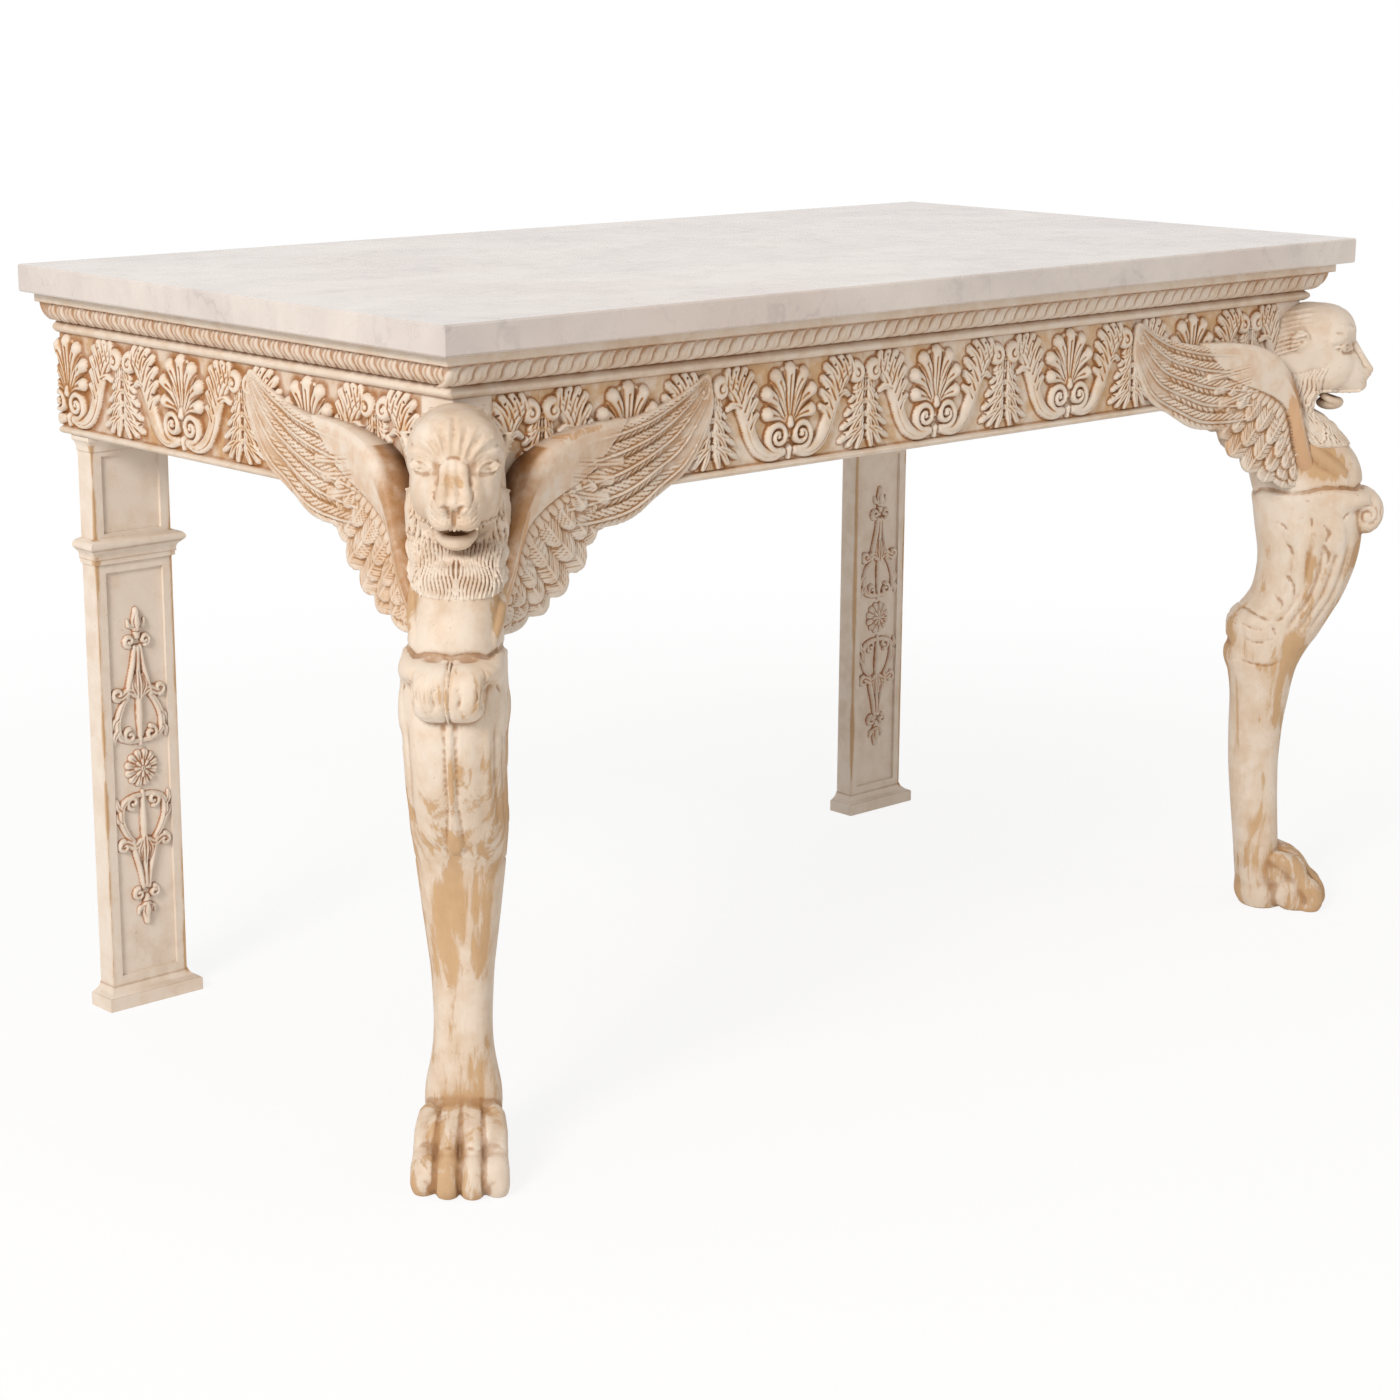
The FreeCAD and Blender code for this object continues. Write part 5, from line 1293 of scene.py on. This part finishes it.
def aged_paint_group():
    """Ivory paint over wood: mottled, rubbed to the wood in patches, brown glaze in the hollows,
    and painted near-black shade in the deepest hollows.
    """
    tree = bpy.data.node_groups.new("aged_paint", "ShaderNodeTree")
    for name in ("Hollow", "Rubbed", "Bareness", "GlazeAndShade", "Wash"):
        socket_of(tree, name, "Float", "INPUT")
    for name in ("Paint", "Wood", "Stain"):
        socket_of(tree, name, "Color", "INPUT")
    for name, kind in (("Color", "Color"), ("Roughness", "Float"), ("Height", "Float")):
        socket_of(tree, name, kind, "OUTPUT")
    b = Bench(tree)
    given = tree.nodes.new("NodeGroupInput").outputs
    place = b.place()
    tall = b.stretch(place, (1.0, 1.0, 0.20))
    fibre = b.stretch(place, (90.0, 90.0, 5.0))
    patch = b.noise(tall, 30.0, 9.0, 0.66, 0.5)
    broad = b.noise(place, 6.5, 2.0)
    mottle = b.noise(place, 42.0, 6.0, 0.6)
    fine = b.noise(place, 420.0, 3.0)
    grain = b.noise(fibre, 1.0, 5.0, 0.6)
    rubbed = b.plus(b.some(patch, 0.7), b.some(broad, 0.45))
    rubbed = b.plus(rubbed, b.some(given["Rubbed"], 0.24))
    crest = b.span(given["Hollow"], -0.3, -1.6)
    rubbed = b.plus(rubbed, b.some(crest, 0.06))
    edge = b.math("SUBTRACT", 0.90, b.some(given["Bareness"], 0.36))
    bare = b.span(rubbed, edge, b.plus(edge, 0.055))
    thin = b.span(rubbed, b.math("SUBTRACT", edge, 0.13), edge)
    cream = b.mix(b.span(mottle, 0.35, 0.75), given["Paint"],
                  b.mix(0.16, given["Paint"], given["Wood"]))
    cream = b.mix(b.some(thin, 0.20), cream, given["Wood"])
    timber = b.mix(b.span(grain, 0.30, 0.72),
                   b.mix(0.22, given["Wood"], given["Stain"]), given["Wood"])
    colour = b.mix(b.some(bare, 0.88), cream, timber)
    film = b.some(given["Wash"], b.span(given["Hollow"], -1.3, 0.3))
    film = b.some(film, b.span(b.plus(mottle, broad), 0.82, 1.18, 0.15, 1.6))
    colour = b.mix(b.limit(film), colour, given["Wood"])
    pool = b.span(given["Hollow"], 0.12, 1.1)
    pool = b.some(pool, b.span(mottle, 0.20, 0.62, 0.45, 1.0))
    wash = b.some(b.span(broad, 0.42, 0.72), b.span(mottle, 0.40, 0.66))
    stain = b.some(given["GlazeAndShade"], b.plus(pool, b.some(wash, 0.22)))
    speck = b.span(b.noise(place, 240.0, 1.0), 0.735, 0.76)
    colour = b.mix(b.limit(stain), colour, given["Stain"])
    colour = b.mix(b.some(speck, 0.25), colour, given["Stain"])
    # Painted shade: the deepest hollows are mixed toward near-black, scaled by the glaze-and-shade
    # strength.
    deep = b.some(b.span(given["Hollow"], 1.7, 3.2), given["GlazeAndShade"])
    colour = b.mix(b.some(deep, 0.6), colour, DEEP_SHADE)
    rough = b.span(b.plus(b.some(bare, 0.4), b.some(fine, 0.6)), 0.1, 0.9, 0.46, 0.72)
    height = b.math("SUBTRACT", b.some(fine, 0.22), b.some(bare, 0.5))
    height = b.plus(height, b.some(mottle, 0.35))
    out = tree.nodes.new("NodeGroupOutput")
    for value, name in ((colour, "Color"), (rough, "Roughness"), (height, "Height")):
        tree.links.new(value, out.inputs[name])
    return tree


POST_INNER, POST_OUTER, POST_FRONT = 600, 706, 372
CHIP, CHIP_WEAR = 10, 1.5


def painted(name, group, bareness, glaze_and_shade, wash, paint, wood, stain, bump, chipped=False):
    """A painted finish with its own wear, glaze and painted shade in the deepest hollows; chipped
    at the corners of the rear posts.
    """
    finish, b = start_finish(name)
    hollow = b.put("Attribute", attribute_name="hollow").outputs["Fac"]
    rub = b.put("Attribute", attribute_name="rubbed").outputs["Fac"]
    coat = b.put("Group", node_tree=group)
    for key, value in (("Bareness", bareness), ("GlazeAndShade", glaze_and_shade), ("Wash", wash)):
        coat.inputs[key].default_value = value
    for key, colour in (("Paint", paint), ("Wood", wood), ("Stain", stain)):
        coat.inputs[key].default_value = (*colour, 1)
    if chipped:
        place = b.put("SeparateXYZ", {0: b.place()}).outputs
        across = b.math("ABSOLUTE", place[0])
        edges = ((across, POST_INNER), (across, POST_OUTER), (place[1], POST_FRONT))
        inner, outer, depth = [b.math("ABSOLUTE", b.math("SUBTRACT", value, level * MM))
                               for value, level in edges]
        corner = b.math("MAXIMUM", b.math("MINIMUM", inner, outer), depth)
        rub = b.span(corner, CHIP * MM, 0.0, 0.0, CHIP_WEAR)
    for value, key in ((hollow, "Hollow"), (rub, "Rubbed")):
        b.tree.links.new(value, coat.inputs[key])
    b.surface({"Base Color": coat.outputs["Color"], "Roughness": coat.outputs["Roughness"],
               "Normal": b.dents(bump, 0.0012, coat.outputs["Height"]), "Specular IOR Level": 0.35})
    return finish


def marble_finish():
    """Pale greige marble with pink clouds and fine grey veins, polished."""
    finish, b = start_finish("polished_marble")
    place = b.place()
    drift = b.stretch(place, (1.0, 1.6, 1.0), (0.2, 0.1, 0.5))
    cloud = b.noise(drift, 4.2, 6.0, 0.6, 0.6)
    blush = b.noise(drift, 2.1, 3.0, 0.5, 0.3)
    crumb = b.noise(place, 30.0, 3.0, 0.55, 0.4)
    warp = b.noise(drift, 3.0, 5.0, 0.62, 0.0, "Color")
    shift = b.put("VectorMath", {0: warp, "Scale": 0.42}, operation="SCALE").outputs[0]
    bent = b.put("VectorMath", {0: drift, 1: shift}, operation="ADD").outputs[0]
    vein = b.some(b.span(b.cracks(bent, 5.5), 0.035, 0.0), b.span(cloud, 0.42, 0.66))
    thread = b.some(b.span(b.cracks(bent, 19.0), 0.03, 0.0), b.span(crumb, 0.45, 0.65))
    colour = b.mix(b.span(cloud, 0.30, 0.72), MARBLE_PALE, MARBLE_GREY)
    colour = b.mix(b.some(b.span(blush, 0.48, 0.75), 0.40), colour, MARBLE_PINK)
    colour = b.mix(b.some(b.span(crumb, 0.46, 0.74), 0.22), colour, MARBLE_CRUMB)
    colour = b.mix(b.some(vein, 0.42), colour, MARBLE_VEIN)
    colour = b.mix(b.some(thread, 0.28), colour, MARBLE_THREAD)
    b.surface({"Base Color": colour, "Roughness": b.span(crumb, 0.3, 0.8, 0.24, 0.30),
               "Coat Weight": 0.18, "Coat Roughness": 0.12})
    return finish


def plain_wood_finish():
    """Unpainted secondary wood of the blocks and bearers, with grain along x."""
    finish, b = start_finish("bare_wood")
    place = b.place()
    fibre = b.stretch(place, (60.0, 6.0, 60.0))
    grain = b.noise(fibre, 1.0, 6.0, 0.6, 0.8)
    tone = b.noise(place, 9.0, 3.0)
    colour = b.mix(b.span(grain, 0.30, 0.72), WOOD_DARK, WOOD_PALE)
    colour = b.mix(b.some(b.span(tone, 0.40, 0.70), 0.25), colour, WOOD_STREAK)
    b.surface({"Base Color": colour, "Roughness": b.span(grain, 0.2, 0.8, 0.62, 0.80),
               "Normal": b.dents(0.25, 0.0008, grain)})
    return finish


def zinc_finish():
    """Dull zinc on the bolts, nuts and screws."""
    finish, b = start_finish("dull_zinc")
    place = b.place()
    brush = b.noise(b.stretch(place, (900.0, 900.0, 60.0)), 1.0, 3.0)
    haze = b.noise(place, 160.0, 4.0)
    colour = b.mix(b.span(haze, 0.35, 0.7), ZINC_PALE, ZINC_DULL)
    b.surface({"Base Color": colour, "Metallic": 1.0,
               "Roughness": b.span(brush, 0.3, 0.7, 0.32, 0.50),
               "Normal": b.dents(0.15, 0.0003, brush)})
    return finish


# Assembly. A paint has its bareness, glaze-and-painted-shade strength and wash, then paint, wood
# and stain, then its bump.

CREAM, POST_CREAM = (0.715, 0.617, 0.522), (0.755, 0.660, 0.570)
TAN, WING_TAN = (0.540, 0.340, 0.175), (0.59, 0.355, 0.19)
FRIEZE_TAN, ORNAMENT_TAN = (0.57, 0.355, 0.175), (0.56, 0.33, 0.19)
GLAZE, WING_GLAZE, FRIEZE_GLAZE = (0.310, 0.145, 0.050), (0.36, 0.18, 0.07), (0.33, 0.14, 0.045)
CARVING_GLAZE, ORNAMENT_GLAZE = (0.37, 0.165, 0.055), (0.36, 0.15, 0.06)
coat = aged_paint_group()
lion_paint = painted("ivory_lion", coat, 0.55, 0.72, 0.22, CREAM, TAN, GLAZE, 0.55)
wing_paint = painted("ivory_wing", coat, 0.50, 0.95, 0.36, CREAM, WING_TAN, WING_GLAZE, 0.45)
frieze_paint = painted("ivory_frieze", coat, 0.10, 1.0, 0.62, CREAM, FRIEZE_TAN, FRIEZE_GLAZE, 0.45)
carving_paint = painted("ivory_carving", coat, 0.08, 0.85, 0.18, CREAM, TAN, CARVING_GLAZE, 0.40)
post_paint = painted("ivory_post", coat, 0.12, 0.60, 0.06, POST_CREAM, TAN, GLAZE, 0.35, True)
ornament_paint = painted("ivory_ornament", coat, 0.10, 0.95, 0.30, CREAM, ORNAMENT_TAN,
                         ORNAMENT_GLAZE, 0.40)
marble = marble_finish()
bare_wood = plain_wood_finish()
zinc = zinc_finish()
row_tree = repeat_tree()

MIRROR = np.array([-1.0, 1.0, 1.0])
WEAR_AT = (0, 70, 100, 165, 230, 380, 440, 560, 600, 640)
LEG_WEAR = (1.0, 0.85, 0.36, 0.36, 0.62, 0.66, 0.45, 0.30, 0.15, 0.10)
PAW_DARK = (0.5, 0.95)
HEAD_WEAR, MOUTH_SHADE = -0.3, 3.4
WING_WEAR, BROAD_WING_WEAR = 0.85, 1.7


def stand_pair(label, points, faces, hollows, bares, *nodes):
    """Stands a carving at the right corner, and its mirrored, glancing twin at the left."""
    right, left = stand_lion(points), stand_lion(glance(points)) * MIRROR
    for side, spots, hollow, bare in (("right", right, hollows[0], bares[0]),
                                      ("left", left, hollows[1], bares[1])):
        piece = shape_piece(side + label, spots, faces, hollow, bare, side == "left")
        settle(piece, lion_paint, *[side + node for node in nodes])


def throat_shade(v, z):
    """Painted shade under the chin."""
    return np.exp(-(v / 20) ** 2) * ease(z, 640, 650) * (1 - ease(z, 676, 690))


def make_lions():
    """Legs worn at the paw and shank, heads with painted shade in the mouth and under the chin, and
    beards.
    """
    points, faces, hollow = carve_leg().skin()
    u, v, z = points.T
    bare = np.interp(z, WEAR_AT, LEG_WEAR) + np.where(z < 400, 0.12 * np.cos(v / 12), 0)
    bare += 0.75 * ease(np.abs(v), 28, 42) * ease(z, 588, 612) * (1 - ease(u, 62, 86))
    paw = 1 - ease(z, 70, 96)
    stand_pair("_lion_leg_carved", points, faces, [hollow + dark * paw for dark in PAW_DARK],
               [bare - 0.1 * paw, bare], "_lion_leg", "_knee_scroll")

    points, faces, hollow = carve_head().skin()
    u, v, z = points.T
    nose = (1 - ease(np.abs(v), 8, 14)) * ease(z, 742, 752) * (1 - ease(z, 766, 778))
    bare = 0.55 * nose + HEAD_WEAR
    hollow = hollow * 1.35 + 0.55 * throat_shade(v, z)
    hollow = hollow * (1 - 0.45 * ease(z, 780, 790))
    # Painted shade inside the open mouth.
    mouth = ((1 - ease(np.abs(v), 10, 13.5)) * ease(z, 699.5, 702.5) * (1 - ease(z, 712.5, 715))
             * (1 - ease(u, 53, 57)))
    hollow = np.maximum(hollow, MOUTH_SHADE * mouth)
    stand_pair("_lion_head_carved", points, faces, [hollow] * 2, [bare] * 2, "_lion_head")

    points, faces, hollow = carve_beard().skin()
    u, v, z = points.T
    hollow = hollow * 2.2 + 0.7 * throat_shade(v, z)
    bare = np.full(len(points), HEAD_WEAR)
    stand_pair("_lion_beard", points, faces, [hollow] * 2, [bare] * 2)


def make_wings():
    """Four wings, spread over the front and the sides from both corners."""
    points, faces, hollow, bare = carve_wing()
    w, z, out = (points * MM).T
    side = np.stack([FACE_X * MM + out, SLAB_FRONT * MM + w, z], axis=1)
    front = np.stack([SLAB_X * MM - w, FACE_FRONT * MM - out, z], axis=1)
    for name, spots, flip in (("right_side_wing", side, False), ("right_front_wing", front, True),
                              ("left_side_wing", side * MIRROR, True),
                              ("left_front_wing", front * MIRROR, False)):
        wear = BROAD_WING_WEAR if name == "right_front_wing" else WING_WEAR
        settle(shape_piece(name + "_carved", spots, faces, hollow, bare * wear, flip),
               wing_paint, name)


TILE, FRIEZE_FOOT = 240, 722
LEAF_STEP = 0.0186


def on_face(side, centre):
    """Puts places along, up and out on the front or a side of the frieze, in metres."""
    def place(a, b, h):
        along, up = centre * MM + a, FRIEZE_FOOT * MM + b
        if side == "front":
            return np.stack([along, FACE_FRONT * MM - h, up], axis=1)
        out = FACE_X * MM + h
        return np.stack([out if side == "right" else -out, along, up], axis=1)
    return place


def frieze_tile(name, low, high, place, flip=False):
    """A tile or a part of one; the left side is darker."""
    points, faces, hollow = carve_frieze(low, high)
    if name.startswith("left"):
        hollow = hollow + 0.45
    # The deeper hollows are pushed further, into stronger glaze and the painted near-black shade.
    hollow = np.where(hollow > 0.5, hollow * 1.3, hollow)
    return shape_piece(name, place(*(points * MM).T), faces, hollow, None, flip)


def make_frieze():
    """Five tiles in front and two on each side, with cut tiles at the ends."""
    half, step = TILE_HALF, TILE * MM
    row = frieze_tile("front_frieze_carved", -half, half, on_face("front", 0))
    repeat(row_tree, row, 5, (-2 * step, 0, 0), (step, 0, 0), frieze_paint)
    settle(row, frieze_paint, "front_palmettes", "front_lyre_arms", "front_leaf_drops")
    settle(frieze_tile("front_frieze_right_end", -half, -58, on_face("front", 3 * TILE)),
           frieze_paint)
    settle(frieze_tile("front_frieze_left_end", 58, half, on_face("front", -3 * TILE)),
           frieze_paint)
    for name, flip in (("right", False), ("left", True)):
        row = frieze_tile(name + "_frieze_carved", -half, half, on_face(name, 40), flip)
        repeat(row_tree, row, 2, (0, -step / 2, 0), (0, step, 0), frieze_paint)
        settle(row, frieze_paint, name + "_palmettes", name + "_lyre_arms", name + "_leaf_drops")
        settle(frieze_tile(name + "_frieze_rear_end", -half, 20, on_face(name, 400), flip),
               frieze_paint)
        settle(frieze_tile(name + "_frieze_lion_end", 48, half, on_face(name, -320), flip),
               frieze_paint)


def make_cornice_leaves():
    """Rows of leaning leaves on the ovolo; the left row is darker."""
    points, faces, hollow = make_tongue()
    for name, count, start, step, turn, dark in (
            ("front", 79, (-0.7365, FACE_FRONT * MM, 0), (LEAF_STEP, 0, 0), 0, 0.1),
            ("right", 40, (FACE_X * MM, -0.3254, 0), (0, LEAF_STEP, 0), 90, 0.1),
            ("left", 40, (-FACE_X * MM, 0.400, 0), (0, -LEAF_STEP, 0), -90, 0.6)):
        spin = np.array(Matrix.Rotation(math.radians(turn), 3, "Z"))
        leaf = shape_piece(name + "_cornice_leaves", points * MM @ spin.T, faces, hollow + dark)
        repeat(row_tree, leaf, count, start, step, carving_paint)
        settle(leaf, carving_paint)


POST_REAR = 402
POST_MOULDINGS = (
    ("cap_moulding", [(0.0, 556), (3.2, 557), (3.2, 562)] + bow((4.5, 563), (9.0, 574), -2.0)
     + bow((9.5, 575), (9.5, 586), 4.0) + [(0.0, 588)], [0, 3, 10, 11], 0.8),
    ("neck_moulding", [(0.0, 692), (1.5, 693)] + bow((1.6, 694), (6.8, 706), -1.6)
     + [(8.0, 707.2), (8.0, 711.6), (0.0, 711.6)], [0, 1], 0.7),
    ("plinth",
     [(0.0, 0.0), (14, 0), (14, 15.4), (12.5, 16.5)] + bow((12.0, 17.0), (1.0, 26.5), -1.6)
     + [(1.0, 28), (0.0, 28)], [3, -3, -2], 0.8))
BOTTOM_BEAD = [(0.4, 712)] + bow((1.5, 712), (1.5, 721), 5.3) + [(0.4, 722)]


def darken(profile, marks, amount):
    """Raises the hollow value at a few points of a profile, which darkens them."""
    hollow = np.zeros(len(profile))
    hollow[marks] = amount
    return hollow


def make_mouldings():
    """Cornice and bottom bead round three sides, and the mouldings of the rear posts."""
    settle(make_cornice(), carving_paint, "front_cornice", "left_cornice", "right_cornice")
    bead = run_moulding("bottom_bead_run", THREE_SIDES, BOTTOM_BEAD,
                        darken(BOTTOM_BEAD, [-2, -1], 1.2))
    settle(bead, carving_paint, "front_bottom_bead", "left_bottom_bead", "right_bottom_bead")
    for side, name in ((1, "right"), (-1, "left")):
        a, b = sorted((side * POST_INNER, side * POST_OUTER))
        plan = [(a, POST_REAR), (a, POST_FRONT), (b, POST_FRONT), (b, POST_REAR)]
        for label, profile, marks, amount in POST_MOULDINGS:
            run = run_moulding("%s_%s_run" % (name, label), plan, profile,
                               darken(profile, marks, amount))
            settle(run, post_paint, "%s_%s" % (name, label))
        corners, sides = block((a - 0.5, POST_FRONT - 0.5, 0.0), (b + 0.5, POST_REAR, 27.8))
        settle(shape_piece(name + "_plinth_core", corners * MM, sides, smooth=False), post_paint)


POST_MIDDLE, PANEL_FACE, ROSETTE = 0.653, 0.376, 0.298


def make_pilaster_ornament():
    """The carved ornament on the front of each rear post."""
    points, faces, hollow = carve_pilaster()
    hollow = np.minimum(hollow * 1.3 + 0.55, 1.75)
    a, b, h = (points * MM).T
    for side, name in ((1, "right"), (-1, "left")):
        spots = np.stack([side * POST_MIDDLE + a, PANEL_FACE - h, ROSETTE + b], axis=1)
        settle(shape_piece(name + "_candelabra_carved", spots, faces, hollow), ornament_paint,
               name + "_upper_candelabrum", name + "_rosette", name + "_lower_candelabrum")


def dress_plain_nodes():
    """Finishes for the CAD solids that stay as they are."""
    for name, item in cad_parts.items():
        if name.startswith("leg_") or name.endswith("screws"):
            finish = zinc
        elif name == "marble_top":
            finish = marble
        elif name.endswith(("_block", "_bearer")):
            finish = bare_wood
        else:
            finish = post_paint
        item.data.materials.clear()
        item.data.materials.append(finish)


FLOOR_HALF, FLOOR_GREY = 9, (0.93, 0.925, 0.92, 1)
WHITE, SOFT_WHITE = (1, 1, 1, 1), (1.0, 0.985, 0.96, 1)
LAMPS = (("key_light", (-6.05, -2.3, 4.0), 2.4, 355, (1.0, 0.97, 0.93)),
         ("fill_light", (2.0, -3.2, 1.6), 2.0, 18, (1.0, 0.92, 0.82)),
         ("top_light", (0.0, 0.4, 3.6), 3.0, 26, (1.0, 0.99, 0.97)))
LAMP_AIM = Vector((0, 0, 0.5))
CAMERA_SPOT, CAMERA_TURN = (-2.54715, -2.64231, 1.25263), (43.190, 13.898, 0.381)
SENSOR, FOCAL_PIXELS, PHOTO_PIXELS = 36.0, 2957.54, 1400


def lay_floor():
    """A pale floor that shows as white and keeps a faint shadow near the table."""
    mesh = bpy.data.meshes.new("floor")
    far = FLOOR_HALF
    mesh.from_pydata([(-far, -far, 0), (far, -far, 0), (far, far, 0), (-far, far, 0)],
                     [], [(0, 1, 2, 3)])
    floor = bpy.data.objects.new("floor", mesh)
    bpy.context.scene.collection.objects.link(floor)
    finish, b = start_finish("pale_floor")
    matte = b.put("BsdfDiffuse", {"Color": FLOOR_GREY})
    white = b.put("Emission", {"Color": WHITE, "Strength": 1.0})
    away = b.put("VectorMath", {0: b.place()}, operation="LENGTH").outputs["Value"]
    share = b.some(b.seen(), b.span(away, 0.9, 2.6, 0.86, 1.0))
    mixed = b.put("MixShader", {0: share, 1: matte.outputs[0], 2: white.outputs[0]})
    b.put("OutputMaterial", {"Surface": mixed.outputs[0]})
    mesh.materials.append(finish)


def light_studio():
    """A white surround that sheds soft light, and three round lamps."""
    scene = bpy.context.scene
    scene.view_settings.view_transform = "Standard"
    world = bpy.data.worlds.new("studio")
    scene.world = world
    world.use_nodes = True
    world.node_tree.nodes.clear()
    b = Bench(world.node_tree)
    soft = b.put("Background", {"Color": SOFT_WHITE, "Strength": 0.42})
    white = b.put("Background", {"Color": WHITE, "Strength": 1.0})
    mixed = b.put("MixShader", {0: b.seen(), 1: soft.outputs[0], 2: white.outputs[0]})
    b.put("OutputWorld", {"Surface": mixed.outputs[0]})
    for name, spot, size, power, tint in LAMPS:
        lamp = bpy.data.lights.new(name, "AREA")
        lamp.shape = "DISK"
        lamp.size = size
        lamp.energy = power
        lamp.color = tint
        item = bpy.data.objects.new(name, lamp)
        item.location = spot
        item.rotation_euler = (LAMP_AIM - Vector(spot)).to_track_quat("-Z", "Y").to_euler()
        scene.collection.objects.link(item)


def set_camera():
    """A camera on the photograph's view."""
    yaw, pitch, roll = (math.radians(a) for a in CAMERA_TURN)
    ahead = Vector((math.sin(yaw) * math.cos(pitch), math.cos(yaw) * math.cos(pitch),
                    -math.sin(pitch)))
    across = Vector((math.cos(yaw), -math.sin(yaw), 0))
    upward = across.cross(ahead)
    right = across * math.cos(roll) + upward * math.sin(roll)
    top = upward * math.cos(roll) - across * math.sin(roll)
    lens = bpy.data.cameras.new("camera")
    lens.sensor_width = SENSOR
    lens.lens = SENSOR * FOCAL_PIXELS / PHOTO_PIXELS
    lens.clip_end = 60
    camera = bpy.data.objects.new("camera", lens)
    turn = Matrix((right, top, -ahead)).transposed().to_4x4()
    camera.matrix_world = Matrix.Translation(CAMERA_SPOT) @ turn
    bpy.context.scene.collection.objects.link(camera)
    bpy.context.scene.camera = camera


make_lions()
make_wings()
make_frieze()
make_cornice_leaves()
make_mouldings()
make_pilaster_ornament()
dress_plain_nodes()
lay_floor()
light_studio()
set_camera()
